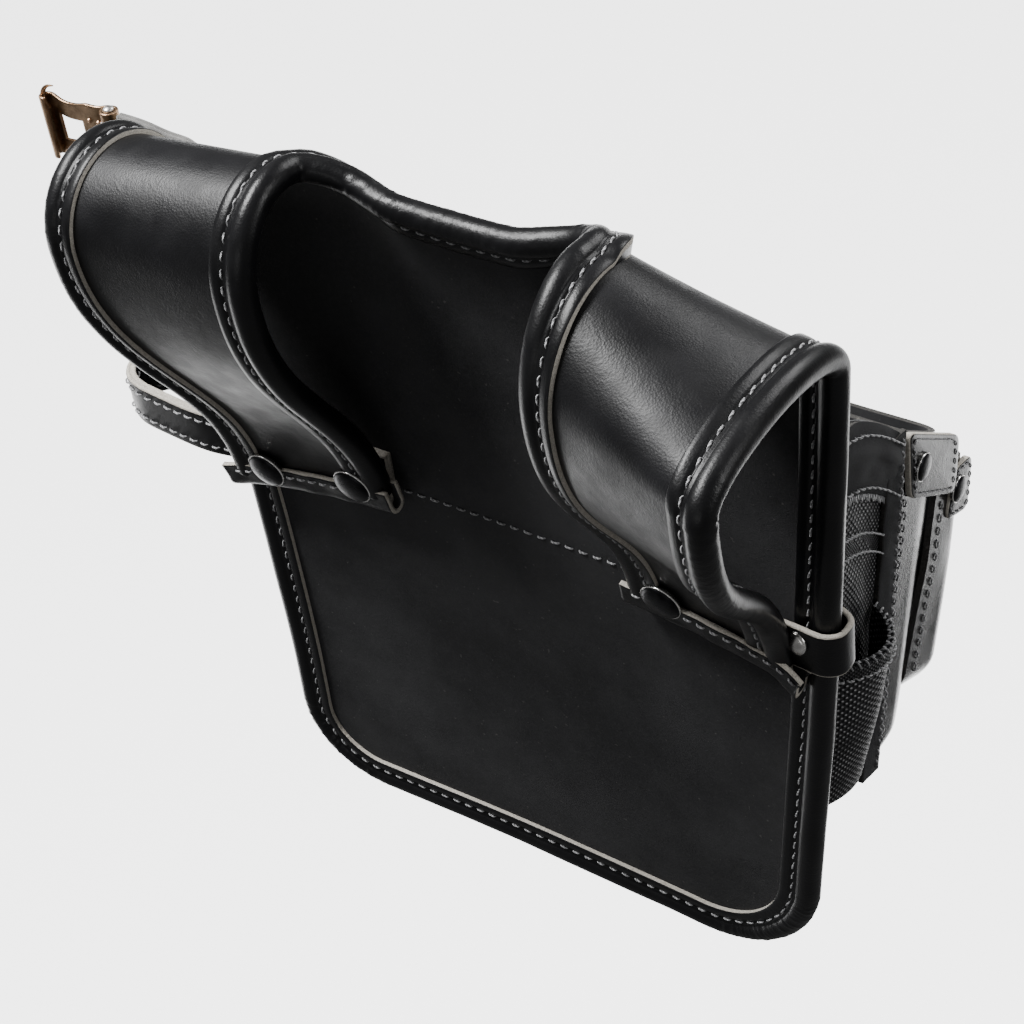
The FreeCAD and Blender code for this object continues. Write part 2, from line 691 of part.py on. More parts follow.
STRAP_RIVETS = [(-92.0, 30.0), (-92.0, 40.0)]
STRAP_RIVET_BITE = 0.5  # how far short of the panel's wearer-side face its post ends


def hanger_strap():
    """A leather strap on the panel's front, over the edge binding, with an eye for the pin."""
    thick = dim("strap_thick")
    on_panel = PANEL_FRONT
    over_roll = PANEL_MIDDLE + ROLL / 2 + 0.3
    low = dim("strap_bottom")
    high = dim("strap_top")
    end = dim("pin_x") + dim("eye_radius") + 1.0
    points = [
        (-84.0, on_panel), (-108.0, on_panel), (-116.0, over_roll), (end, over_roll),
        (end, over_roll + thick), (-114.0, over_roll + thick), (-106.0, on_panel + thick),
        (-84.0, on_panel + thick),
    ]
    corners = [V(x, y, low) for x, y in points]
    strap = Part.Face(Part.makePolygon(corners + corners[:1])).extrude(V(0, 0, high - low))
    eye_low, eye_high = strap_span()
    eye = upright(dim("eye_radius"), eye_low, eye_high)
    tongue = Part.makeBox(end - dim("pin_x"), thick, eye_high - eye_low, V(dim("pin_x"), over_roll, eye_low))
    whole = strap.fuse(eye).fuse(tongue)
    return whole.cut(upright(dim("pin_radius"), low - 5, high + 5)).removeSplitter()


def strap_rivet(place):
    """A strap rivet: its cap faces away from the wearer."""
    x, z = place
    seat = PANEL_FRONT + dim("strap_thick")
    cap = dome(dim("strap_cap_radius"), dim("small_cap_height"), 0, 0, 0)
    cap.rotate(V(0, 0, 0), V(0, 0, 1), 180)
    cap.translate(V(x, seat, z))
    depth = seat - PANEL_FACE - STRAP_RIVET_BITE
    post = Part.makeCylinder(dim("small_post"), depth, V(x, seat, z), V(0, -1, 0))
    return cap.fuse(post).removeSplitter()


def strap_rivet_hole(place):
    """The hole of a strap rivet's post."""
    x, z = place
    return Part.makeCylinder(dim("small_post"), 8.0, V(x, PANEL_FACE + STRAP_RIVET_BITE, z), V(0, 1, 0))


def tool_hook():
    """Sheet-metal hook: two knuckles on the pin, a plate with a window, a curled outer bar."""
    low = dim("strap_bottom")
    high = dim("strap_top")
    knuckle = dim("knuckle")
    sheet_half = dim("hook_sheet") / 2
    pin_x = dim("pin_x")
    pin_y = dim("pin_y")
    bar_x = pin_x - dim("hook_reach")
    clear = dim("eye_radius") + 0.6
    upper_knuckle = upright(dim("eye_radius"), high - knuckle, high)
    knuckles = upright(dim("eye_radius"), low, low + knuckle).fuse(upper_knuckle)
    plate = Part.makeBox(pin_x - bar_x, 2 * sheet_half, high - low, V(bar_x, pin_y - sheet_half, low))
    eye_gap = Part.makeBox(clear + 1, 8, high - low - 2 * knuckle, V(pin_x - clear, pin_y - 4, low + knuckle))
    window = Part.makeBox(6.5, 8, high - low - 8, V(bar_x + dim("hook_bar") + 0.6, pin_y - 4, low + 4))
    bar = Part.makeCylinder(dim("hook_bar"), high - low + 2, V(bar_x, pin_y, low - 1))
    hook = plate.cut(eye_gap).cut(window).fuse(knuckles).fuse(bar)
    bore = upright(dim("pin_radius") + dim("pin_gap"), low - 5, high + 5)
    return hook.cut(bore).removeSplitter()


def hook_pin():
    """The upright pin, bound to the sheet."""
    pin = doc.addObject("Part::Cylinder", "hook_pin")
    pin.setExpression("Radius", "Dims.pin_radius")
    pin.setExpression("Height", "Dims.strap_top - Dims.strap_bottom + 3")
    pin.setExpression("Placement.Base.x", "Dims.pin_x")
    pin.setExpression("Placement.Base.y", "Dims.pin_y")
    pin.setExpression("Placement.Base.z", "Dims.strap_bottom - 1.5")
    return keep(pin, "hook_pin")


# ---------------------------------------------------------------- assembly

def inside_gussets():
    """The room between the gussets, which the straps sewn onto them stay out of."""
    half = dim("gusset_x")
    return Part.makeBox(2 * half, FAR, 2 * FAR, V(-half, PANEL_FRONT, -2 * FAR))


def panel_edge():
    """The binding round the panel's sides and bottom, open at the top."""
    whole = panel_blank(0, PANEL_MIDDLE - ROLL / 2, PANEL_MIDDLE + ROLL / 2)
    whole = whole.cut(panel_blank(ROLL, 0, 2 * PANEL_MIDDLE))
    half_gap = dim("right_out_top") - ROLL
    return whole.cut(Part.makeBox(2 * half_gap, FAR, 20, V(-half_gap, 0, FOLD - 10)))


def rivet_hole(x, z):
    """A loop rivet's hole through the panel."""
    return Part.makeCylinder(dim("post_radius"), FAR, V(x, 0, z), V(0, 1, 0))


def burr_room(x, z):
    """The space that a loop rivet's washer takes out of the inner back panel."""
    clearance = 0.2
    radius = dim("burr_radius") + clearance
    return Part.makeCylinder(radius, FAR, V(x, PANEL_FRONT - 1, z), V(0, 1, 0))


ring = apart(hammer_ring(), inside_gussets())
wrap = apart(edge_wrap(), inside_gussets())
left_outer, left_inner = loop_edges("left")
right_outer, right_inner = loop_edges("right")
strips = {side: apart(end_strip(side), ring) for side in ("left", "right")}
cutters = [ring, wrap, wrap_rivet_room(), strips["left"], strips["right"], *rivet_rooms]
panel_binding = trimmed(panel_edge(), *cutters)
outer_bindings = {"outer_edge_binding": panel_binding}
for side, edge in (("left", left_outer), ("right", right_outer)):
    outer_bindings["loop_edge_binding_" + side] = trimmed(edge, panel_binding, *cutters)
for label, shape in outer_bindings.items():
    feature(label, shape)

dip_half = dim("left_in_top") - 0.4
yoke_edge = yoke_band(ROLL / 2, dip_half).common(dip_prism(0, dip_half))
yoke_edge = yoke_edge.cut(dip_prism(ROLL, dip_half))
inner_edges = [trimmed(edge, *cutters) for edge in (left_inner, right_inner)]
feature("inner_edge_binding", Part.makeCompound([inner_edges[0], yoke_edge, inner_edges[1]]))

flat_panel = panel_blank(ROLL, PANEL_FACE, PANEL_FRONT)
between = Part.makeBox(2 * dip_half, FAR, FOLD, V(-dip_half, 0, 0))
yoke = yoke_band(HIDE / 2, dip_half).common(dip_prism(ROLL, dip_half))
panel = flat_panel.cut(between).fuse(yoke).removeSplitter()
rivet_holes = [rivet_hole(x, z) for _, x, z in LOOP_RIVETS]
strap_holes = [strap_rivet_hole(place) for place in STRAP_RIVETS]

loop_skins = {}
for side in ("left", "right"):
    skin = loop_solid(side, HIDE / 2).common(horn_prism(side, 0, 0))
    loop_skins[side] = trimmed(skin, *rivet_rooms, *strap_holes, *outer_bindings.values(), left_inner,
                               right_inner, strips[side], ring, wrap, wrap_rivet_room())
panel = apart(panel, loop_skins["left"], loop_skins["right"])
feature("back_panel", apart(panel, wrap_rivet_room(), *rivet_holes, *strap_holes))

for side in ("left", "right"):
    feature("belt_loop_" + side, loop_skins[side])
    feature("loop_end_strip_" + side, apart(strips[side], *rivet_rooms))

lining = Part.makeBox(2 * dim("lining_half"), dim("lining"), dim("lining_top") - dim("lining_bottom"),
                      V(-dim("lining_half"), PANEL_FRONT, dim("lining_bottom")))
burrs = [loop_burr(x, z) for _, x, z in LOOP_RIVETS]
burr_rooms = [burr_room(x, z) for _, x, z in LOOP_RIVETS]
feature("inner_back_panel", trimmed(lining, *burr_rooms))

feature("loop_rivets", Part.makeCompound([loop_rivet(*rivet) for rivet in LOOP_RIVETS]))
feature("loop_rivet_burrs", Part.makeCompound(burrs))
feature("hammer_ring", apart(ring, *rivet_rooms, panel))
feature("edge_wrap", apart(wrap, wrap_rivet_room()))
feature("edge_wrap_rivet", wrap_rivet())

build_main_pocket()
build_trays()
feature("side_pocket", side_pocket())

TABS = [("middle", MIDDLE_TAB, MIDDLE_TAB_RIVET, dim("mid_half")),
        ("front", FRONT_TAB, FRONT_TAB_RIVET, dim("front_half"))]
for pocket, corners, place, start in TABS:
    caps = []
    for side, sign in (("right", 1), ("left", -1)):
        feature("%s_pocket_tab_%s" % (pocket, side), side_tab(corners, sign, start, TAB_THICK))
        caps.append(tab_rivet(place, sign, start + TAB_THICK))
    feature(pocket + "_tab_rivets", Part.makeCompound(caps))

feature("hanger_strap", apart(hanger_strap(), *strap_holes))
feature("hanger_strap_rivets", Part.makeCompound([strap_rivet(place) for place in STRAP_RIVETS]))
hook_pin()
feature("tool_hook", tool_hook())

# ---------------------------------------------------------------- checks and files

doc.recompute()
for obj in doc.Objects:
    bad = {"Invalid", "Error"} & set(obj.State)
    if bad:
        raise ValueError("%s: %s" % (obj.Label, bad))
for node in nodes:
    if node.Shape.isNull() or not node.Shape.isValid() or not node.Shape.Solids:
        raise ValueError("%s has no valid shape" % node.Label)
    print("%-26s solids %d volume %.0f" % (node.Label, len(node.Shape.Solids), node.Shape.Volume))
    node.Shape.exportStep(os.path.join("parts", node.Label + ".step"))
print("%d sub-parts" % len(nodes))
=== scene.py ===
import json
import math
import random

import bmesh
import bpy
import numpy as np
from mathutils import Matrix, Vector, noise


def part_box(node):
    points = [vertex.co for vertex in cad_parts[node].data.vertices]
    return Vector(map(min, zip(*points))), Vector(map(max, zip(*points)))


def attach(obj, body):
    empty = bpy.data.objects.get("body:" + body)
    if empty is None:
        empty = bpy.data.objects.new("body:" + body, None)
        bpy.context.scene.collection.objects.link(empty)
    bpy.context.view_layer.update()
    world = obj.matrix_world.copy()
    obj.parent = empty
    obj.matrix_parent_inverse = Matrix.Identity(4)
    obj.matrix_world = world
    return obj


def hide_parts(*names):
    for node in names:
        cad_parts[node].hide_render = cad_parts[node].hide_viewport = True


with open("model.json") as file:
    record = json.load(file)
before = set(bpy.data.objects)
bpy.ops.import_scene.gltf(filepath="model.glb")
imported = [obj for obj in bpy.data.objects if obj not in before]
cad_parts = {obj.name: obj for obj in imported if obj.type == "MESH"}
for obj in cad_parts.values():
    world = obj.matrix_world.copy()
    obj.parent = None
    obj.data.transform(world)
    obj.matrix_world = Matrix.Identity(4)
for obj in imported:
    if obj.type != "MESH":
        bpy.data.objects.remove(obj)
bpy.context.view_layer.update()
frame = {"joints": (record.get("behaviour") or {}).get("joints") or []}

# Leather tool pouch. Shapes are worked out in millimetres and handed to Blender in metres.
# X runs along the belt, +Y points away from the wearer, +Z up, as in the frame.

MM = 0.001
random.seed(11)


def node_box(node):
    """Lowest and highest corner of a node at rest, in millimetres."""
    low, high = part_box(node)
    return np.array(low) / MM, np.array(high) / MM


def lerp(a, b, t):
    """The value at share t of the way from a to b."""
    return a + (b - a) * t


def ease(t):
    """A smooth step from 0 to 1."""
    t = np.clip(t, 0, 1)
    return t * t * (3 - 2 * t)


def unit(v):
    """Vectors scaled to length 1."""
    return v / np.maximum(np.linalg.norm(v, axis=-1, keepdims=True), 1e-9)


# ------------------------------------------------------------------ driving sizes

LINING_LOW, LINING_HIGH = node_box("inner_back_panel")
BINDING_LOW, BINDING_HIGH = node_box("outer_edge_binding")
HIDE = 3.5
FRONT = LINING_LOW[1]
MIDDLE = FRONT - HIDE / 2
FACE = FRONT - HIDE
BOTTOM = BINDING_LOW[2] - 4.0
FOLD = 35.0
WAIST = -66.0
HALF_WAIST = {"left": 113.8, "right": 112.8}
HALF_BOTTOM = {"left": 114.0, "right": 99.8}
CORNER = {"left": 34.0, "right": 46.0}
YOKE_RADIUS = 125.0
DIP_MIDDLE = 57.0
DIP_END = 62.5
ROLL_RADIUS = 4.3
FLANGE = 13.2
STITCH_INSET = 8.8
STITCH_PITCH = 5.2
EDGE_INSET = 1.5

LOOPS = {
    "left": {"sign": -1, "depth": (46, 45), "rise": (28.6, 22.4), "top": (47, 126.8),
             "low": (43.3, 106.7), "end": (-61, -70), "standoff": 8.0, "waist": 1.28},
    "right": {"sign": 1, "depth": (49.3, 69), "rise": (32.0, 11.5), "top": (47.8, 117.4),
              "low": (45.1, 101.2), "end": (-65.5, -72.5), "standoff": 4.6, "waist": 1.05},
}
STRIP_HEIGHT = 5.2
PIN = np.array(frame["joints"][0]["pos_m"]) / MM


def relax(points):
    """The soft sag of the leather: the sides bow towards the wearer and nothing is quite flat."""
    points = np.array(points, float)
    flat = points.reshape(-1, 3)
    for p in flat:
        fade = 1 - ease((p[1] - 30) / 30)
        still = ease((p[0] + 148) / 30) if p[2] > 10 else 1.0
        wave = noise.noise_vector(Vector(p / 62.0))
        free = 1 - ease((abs(p[0]) - 115) / 30)
        p[1] += (-2.6 * min(abs(p[0]) / 100, 1.1) ** 2 * fade * free + 0.9 * wave[1]) * still
        p[0] += 0.5 * wave[0] * still
        p[2] += 0.5 * wave[2] * still
    return flat.reshape(points.shape)


# ------------------------------------------------------------------ mesh making

def build(name, verts, faces, mats, slot, replaces=(), body="pouch", face_mats=None, uvs=None,
          thick=0.0, rim=None, soft=True, weld=0.0):
    """A piece from points in millimetres, on its body, with its materials; the slot argument is not used."""
    mesh = bpy.data.meshes.new(name)
    mesh.from_pydata([tuple(v * MM) for v in np.asarray(verts, float)], [], [tuple(f) for f in faces])
    for mat in mats:
        mesh.materials.append(mat)
    if face_mats is not None:
        mesh.polygons.foreach_set("material_index", np.asarray(face_mats, np.int32))
    if uvs is not None:
        layer = mesh.uv_layers.new(name="UVMap")
        index = np.empty(len(mesh.loops), np.int32)
        mesh.loops.foreach_get("vertex_index", index)
        layer.data.foreach_set("uv", (np.asarray(uvs, np.float32)[index] * MM).ravel())
    bm = bmesh.new()
    bm.from_mesh(mesh)
    if weld:
        bmesh.ops.remove_doubles(bm, verts=bm.verts, dist=weld * MM)
    if not thick:
        bmesh.ops.recalc_face_normals(bm, faces=bm.faces)
    bm.to_mesh(mesh)
    bm.free()
    mesh.polygons.foreach_set("use_smooth", [soft] * len(mesh.polygons))
    obj = bpy.data.objects.new(name, mesh)
    bpy.context.scene.collection.objects.link(obj)
    if thick:
        shell = obj.modifiers.new("thickness", "SOLIDIFY")
        shell.thickness = thick * MM
        shell.offset = 0.0
        shell.material_offset = 1
        shell.material_offset_rim = 2 if rim is None else rim
        edge = obj.modifiers.new("edge", "BEVEL")
        edge.width = min(0.5, thick * 0.2) * MM
        edge.segments = 2
        edge.limit_method = "ANGLE"
        edge.angle_limit = math.radians(50)
        obj.modifiers.new("shade", "WEIGHTED_NORMAL").keep_sharp = True
    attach(obj, body)
    if replaces:
        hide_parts(*([replaces] if isinstance(replaces, str) else replaces))
    return obj


def grid_faces(rows, cols, closed=False, start=0):
    """Quads of a grid of points; closed joins its last column to its first."""
    faces = []
    for i in range(rows - 1):
        for j in range(cols if closed else cols - 1):
            k = (j + 1) % cols
            faces.append((start + i * cols + j, start + i * cols + k,
                          start + (i + 1) * cols + k, start + (i + 1) * cols + j))
    return faces


class Lump:
    """Points and faces gathered for one piece."""

    def __init__(self):
        self.verts = []
        self.faces = []
        self.mats = []
        self.uvs = []
        self.count = 0

    def add(self, verts, faces, mat=0, uvs=None):
        verts = np.asarray(verts, float).reshape(-1, 3)
        self.verts.append(verts)
        self.uvs.append(np.zeros((len(verts), 2)) if uvs is None else np.asarray(uvs).reshape(-1, 2))
        self.faces += [tuple(i + self.count for i in f) for f in faces]
        self.mats += list(mat) if hasattr(mat, "__len__") else [mat] * len(faces)
        self.count += len(verts)

    def grid(self, points, closed=False, mat=0, uvs=None):
        rows, cols = points.shape[:2]
        self.add(points, grid_faces(rows, cols, closed), mat, uvs)

    def build(self, name, mats, slot, **more):
        return build(name, np.concatenate(self.verts), self.faces, mats, slot, face_mats=self.mats,
                     uvs=np.concatenate(self.uvs), **more)


def along(path):
    """Distance along a path at each of its points."""
    steps = np.linalg.norm(np.diff(path, axis=0), axis=1)
    return np.concatenate([[0], np.cumsum(steps)])


def resample(path, spacing, *others):
    """The path, and values that go with it, at even spacing."""
    far = along(path)
    count = max(int(round(far[-1] / spacing)), 2) + 1
    want = np.linspace(0, far[-1], count)
    out = []
    for values in (path, *others):
        out.append(np.stack([np.interp(want, far, values[:, k]) for k in range(values.shape[1])], -1))
    return out if others else out[0]


def blur(values, width):
    """Values averaged along a path."""
    kernel = np.hanning(2 * width + 3)[1:-1]
    kernel /= kernel.sum()
    padded = np.pad(values, ((width, width), (0, 0)), mode="edge")
    return np.stack([np.convolve(padded[:, k], kernel, "valid") for k in range(values.shape[1])], -1)


def frames(path, normal, turn):
    """Unit tangent, inward and normal directions along a path; turn is which side is inward."""
    tangent = unit(np.gradient(path, axis=0))
    normal = unit(normal - (normal * tangent).sum(-1, keepdims=True) * tangent)
    inward = turn * np.cross(tangent, normal)
    return tangent, inward, normal


def tube(path, radius, sides=8):
    """A ring of points round each point of a path."""
    tangent = unit(np.gradient(path, axis=0))
    side = unit(np.cross(tangent, np.array([0.31, 0.2, 0.93])))
    up = np.cross(side, tangent)
    angle = np.linspace(0, 2 * np.pi, sides, endpoint=False)
    radius = np.broadcast_to(radius, len(path))[:, None, None]
    ring = np.cos(angle)[None, :, None] * side[:, None] + np.sin(angle)[None, :, None] * up[:, None]
    return path[:, None] + radius * ring


# ------------------------------------------------------------------ stitching

def add_stitches(lump, path, normal, pitch=STITCH_PITCH, length=3.3, width=0.36, lift=0.2, slant=0.0):
    """A row of single stitches lying on a surface, each a short arched thread."""
    far = along(path)
    count = int(far[-1] / pitch)
    start = (far[-1] - count * pitch) / 2
    share = np.linspace(-0.5, 0.5, 7)
    arch = lift + 0.30 - 4.0 * (lift + 0.55) * np.abs(share) ** 4 * 4
    thick = width * np.array([0.55, 0.9, 1.0, 1.0, 1.0, 0.9, 0.55])
    tangents = unit(np.gradient(path, axis=0))
    for i in range(count):
        middle = start + (i + 0.5) * pitch
        size = length * random.uniform(0.93, 1.05)
        where = middle + share * size
        points = np.stack([np.interp(where, far, path[:, k]) for k in range(3)], -1)
        n = unit(np.array([np.interp(middle, far, normal[:, k]) for k in range(3)]))
        t = unit(np.array([np.interp(middle, far, tangents[:, k]) for k in range(3)]))
        lean = np.cross(n, t) * (slant + random.uniform(-0.10, 0.10))
        points = points + arch[:, None] * n + (share * size)[:, None] * lean
        rings = tube(points, thick, 8)
        u = np.broadcast_to((share * size)[:, None], rings.shape[:2])
        v = np.broadcast_to(np.linspace(0, 2.0, 8)[None], rings.shape[:2])
        lump.grid(rings, closed=True, uvs=np.stack([u, v], -1))


def stitch_row(name, path, normal, slot="gloss_leather", **more):
    """One row of stitches as its own piece."""
    lump = Lump()
    add_stitches(lump, relax(path), normal, **more)
    return lump.build(name, [THREAD], slot)


# ------------------------------------------------------------------ materials

class Shader:
    """A short way to write a node material."""

    def __init__(self, name):
        self.mat = bpy.data.materials.new(name)
        self.mat.use_nodes = True
        self.tree = self.mat.node_tree
        self.out = self.tree.nodes["Principled BSDF"]
        self.place = self.node("ShaderNodeTexCoord").outputs["Object"]
        self.uv = self.node("ShaderNodeTexCoord").outputs["UV"]

    def node(self, kind, settings=None, **inputs):
        made = self.tree.nodes.new(kind)
        for key, value in (settings or {}).items():
            setattr(made, key, value)
        for key, value in inputs.items():
            socket = made.inputs[int(key[1:]) if key[0] == "i" and key[1:].isdigit() else key]
            self.put(socket, value)
        return made

    def put(self, socket, value):
        if isinstance(value, bpy.types.NodeSocket):
            self.tree.links.new(value, socket)
        elif isinstance(value, (tuple, list)) and len(value) == 3 and socket.type == "RGBA":
            socket.default_value = (*value, 1)
        else:
            socket.default_value = value

    def noise(self, scale, detail=4.0, rough=0.55, where=None, distortion=0.0):
        return self.node("ShaderNodeTexNoise", Vector=where or self.place, Scale=scale, Detail=detail,
                         Roughness=rough, Distortion=distortion).outputs["Fac"]

    def cells(self, scale, feature="F1", where=None, random_=1.0):
        return self.node("ShaderNodeTexVoronoi", {"feature": feature}, Vector=where or self.place,
                         Scale=scale, Randomness=random_).outputs["Distance"]

    def math(self, operation, a, b=0.0, clamp=False):
        return self.node("ShaderNodeMath", {"operation": operation, "use_clamp": clamp}, i0=a, i1=b).outputs[0]

    def span(self, value, low, high, to_low=0.0, to_high=1.0):
        made = self.node("ShaderNodeMapRange", {"interpolation_type": "SMOOTHSTEP"}, Value=value)
        for key, number in (("From Min", low), ("From Max", high), ("To Min", to_low), ("To Max", to_high)):
            made.inputs[key].default_value = number
        return made.outputs[0]

    def mix(self, share, a, b):
        made = self.node("ShaderNodeMix", {"data_type": "RGBA"})
        self.put(made.inputs[0], share)
        self.put(made.inputs[6], a)
        self.put(made.inputs[7], b)
        return made.outputs[2]

    def bump(self, height, distance, strength=1.0, under=None):
        made = self.node("ShaderNodeBump", Height=height, Distance=distance, Strength=strength)
        if under is not None:
            self.put(made.inputs["Normal"], under)
        return made.outputs[0]

    def worn(self, low, high):
        """Where the surface's edges are rubbed."""
        return self.span(self.node("ShaderNodeNewGeometry").outputs["Pointiness"], low, high)

    def finish(self, **values):
        for key, value in values.items():
            self.put(self.out.inputs[key.replace("_", " ")], value)
        return self.mat


def leather(name, dark, light, rough_low, rough_high, coat, grain, crease):
    """Finished leather: pebbled grain, soft creases, polish that comes and goes."""
    s = Shader(name)
    patches = s.noise(38, 5)
    pebble = s.cells(1500, "F1")
    fine = s.noise(2600, 3, 0.6)
    folds = s.noise(140, 6, 0.62, distortion=1.3)
    color = s.mix(s.span(patches, 0.35, 0.7), dark, light)
    color = s.mix(s.math("MULTIPLY", s.worn(0.53, 0.62), s.span(s.noise(420), 0.4, 0.7)), color,
                  tuple(3.4 * c + 0.012 for c in light))
    rough = s.span(s.math("ADD", s.math("MULTIPLY", s.noise(90, 5), 0.75), s.math("MULTIPLY", fine, 0.25)),
                   0.3, 0.72, rough_low, rough_high)
    normal = s.bump(folds, 0.0006, crease)
    normal = s.bump(pebble, 0.00012, grain, normal)
    normal = s.bump(fine, 0.00008, grain, normal)
    return s.finish(Base_Color=color, Roughness=rough, Normal=normal, Coat_Weight=coat, Coat_Roughness=0.22,
                    Specular_IOR_Level=0.22)


def flesh_leather():
    """The unfinished side of the hide: matt, fibrous, with pale specks."""
    s = Shader("matte_leather")
    cloud = s.noise(22, 6, 0.6)
    fibre = s.noise(900, 6, 0.75, distortion=0.8)
    specks = s.math("GREATER_THAN", s.noise(520, 2, 0.5), 0.735)
    dots = s.math("LESS_THAN", s.cells(210), 0.085)
    keep = s.math("GREATER_THAN", s.noise(60, 1), 0.56)
    fleck = s.math("MAXIMUM", specks, s.math("MULTIPLY", dots, keep))
    color = s.mix(s.span(cloud, 0.3, 0.72), (0.0170, 0.0170, 0.0180), (0.0340, 0.0340, 0.0355))
    color = s.mix(s.math("MULTIPLY", s.span(fibre, 0.45, 0.8), 0.35), color, (0.050, 0.050, 0.052))
    color = s.mix(s.math("MULTIPLY", fleck, 0.5), color, (0.075, 0.072, 0.07))
    normal = s.bump(s.noise(1500, 5, 0.7), 0.0002, 0.55, s.bump(fibre, 0.0004, 0.45))
    return s.finish(Base_Color=color, Roughness=s.span(cloud, 0.3, 0.7, 0.72, 0.9), Normal=normal,
                    Sheen_Weight=0.01, Sheen_Roughness=0.6, Specular_IOR_Level=0.07)


def raw_edge(name, dark, light, stained):
    """A cut edge: packed fibres, darker where the dye reached in."""
    s = Shader(name)
    fibre = s.noise(1700, 5, 0.7, distortion=1.5)
    stain = s.noise(240, 4)
    color = s.mix(s.span(fibre, 0.3, 0.7), dark, light)
    color = s.mix(s.span(stain, 0.62, 0.8), color, stained)
    return s.finish(Base_Color=color, Roughness=0.85, Normal=s.bump(fibre, 0.0005, 0.9),
                    Specular_IOR_Level=0.25)


def thread():
    """Pale grey twisted sewing thread."""
    s = Shader("thread")
    twist = s.node("ShaderNodeTexWave", {"wave_type": "BANDS", "bands_direction": "DIAGONAL"},
                   Vector=s.uv, Scale=420.0, Distortion=0.6, Detail=1.0).outputs["Fac"]
    color = s.mix(twist, (0.12, 0.12, 0.125), (0.40, 0.40, 0.41))
    color = s.mix(s.span(s.noise(300), 0.5, 0.75), color, (0.12, 0.12, 0.125))
    return s.finish(Base_Color=color, Roughness=0.42, Normal=s.bump(twist, 0.0003, 0.8), Sheen_Weight=0.25)


def nylon(name, pitch, pale):
    """Heavy black nylon: a basket weave with a pale yarn showing between the crossings."""
    s = Shader(name)
    parts = s.node("ShaderNodeSeparateXYZ", Vector=s.uv)
    waves = []
    for axis, phase in (("X", 0.0), ("Y", 0.0)):
        turn = s.math("MULTIPLY", parts.outputs[axis], 2 * math.pi / pitch)
        waves.append(s.math("SINE", s.math("ADD", turn, phase)))
    cross = s.math("MULTIPLY", waves[0], waves[1])
    knots = s.span(cross, 0.42, 0.85)
    yarn = s.node("ShaderNodeTexWave", {"wave_type": "BANDS", "bands_direction": "DIAGONAL"},
                  Vector=s.uv, Scale=900.0, Distortion=1.0).outputs["Fac"]
    patchy = s.span(s.noise(160, 3), 0.3, 0.62, 0.25, 1.0)
    color = s.mix(yarn, (0.004, 0.004, 0.005), (0.012, 0.012, 0.013))
    color = s.mix(s.math("MULTIPLY", knots, patchy), color, (pale, pale, pale * 1.02))
    height = s.math("ADD", s.math("MULTIPLY", cross, 0.8), s.math("MULTIPLY", yarn, 0.2))
    return s.finish(Base_Color=color, Roughness=0.5, Normal=s.bump(height, 0.0006, 0.9),
                    Sheen_Weight=0.02, Specular_IOR_Level=0.12)


def suede():
    """Grey suede with a brushed nap."""
    s = Shader("suede_leather")
    nap = s.noise(1300, 6, 0.75, distortion=1.0)
    color = s.mix(s.span(s.noise(120, 4), 0.3, 0.7), (0.085, 0.082, 0.078), (0.20, 0.195, 0.185))
    color = s.mix(s.math("MULTIPLY", nap, 0.4), color, (0.05, 0.05, 0.05))
    return s.finish(Base_Color=color, Roughness=0.92, Normal=s.bump(nap, 0.0006, 0.8), Sheen_Weight=0.35)


def metal(name, dark, light, rough_low, rough_high, bright, wear=(0.52, 0.6)):
    """Plated sheet metal: fine scratches, dull patches and bright rubbed edges."""
    s = Shader(name)
    stretch = s.node("ShaderNodeMapping", Vector=s.place)
    stretch.inputs["Scale"].default_value = (1.0, 1.0, 7.0)
    scratch = s.noise(700, 5, 0.7, where=stretch.outputs[0])
    color = s.mix(s.span(s.noise(260, 5), 0.3, 0.7), dark, light)
    color = s.mix(s.worn(*wear), color, bright)
    rough = s.span(s.math("ADD", s.math("MULTIPLY", scratch, 0.6), s.math("MULTIPLY", s.noise(180), 0.4)),
                   0.3, 0.7, rough_low, rough_high)
    return s.finish(Base_Color=color, Metallic=1.0, Roughness=rough, Normal=s.bump(scratch, 0.00006, 0.5))


GLOSS = leather("gloss_leather", (0.0022, 0.0022, 0.0026), (0.0045, 0.0045, 0.0052), 0.30, 0.46, 0.03, 0.28, 0.12)
SATIN = leather("satin_leather", (0.0028, 0.0028, 0.0033), (0.0056, 0.0056, 0.0066), 0.36, 0.50, 0.02, 0.34, 0.16)
FLESH = flesh_leather()
RAW = raw_edge("raw_edge", (0.30, 0.275, 0.24), (0.62, 0.585, 0.52), (0.22, 0.20, 0.17))
DYED = raw_edge("dyed_edge", (0.020, 0.019, 0.018), (0.075, 0.072, 0.068), (0.16, 0.15, 0.135))
POLISHED = leather("polished_leather", (0.0020, 0.0020, 0.0024), (0.0042, 0.0042, 0.0049), 0.18, 0.30, 0.03, 0.22, 0.10)
THREAD = thread()
NYLON = nylon("nylon_mesh", 0.0024, 0.34)
NYLON_FINE = nylon("nylon_hem", 0.0016, 0.20)
SUEDE = suede()
GUNMETAL = metal("gunmetal", (0.008, 0.008, 0.009), (0.022, 0.022, 0.024), 0.24, 0.42, (0.20, 0.20, 0.19), (0.56, 0.68))
BRIGHT = metal("bright_rim", (0.42, 0.41, 0.40), (0.68, 0.67, 0.65), 0.16, 0.32, (0.85, 0.84, 0.82))
BRONZE = metal("bronze", (0.20, 0.125, 0.07), (0.40, 0.27, 0.165), 0.24, 0.46, (0.78, 0.50, 0.33))
STEEL = metal("pin_steel", (0.30, 0.29, 0.28), (0.52, 0.50, 0.48), 0.25, 0.42, (0.8, 0.78, 0.75))


# ------------------------------------------------------------------ the hide's surface

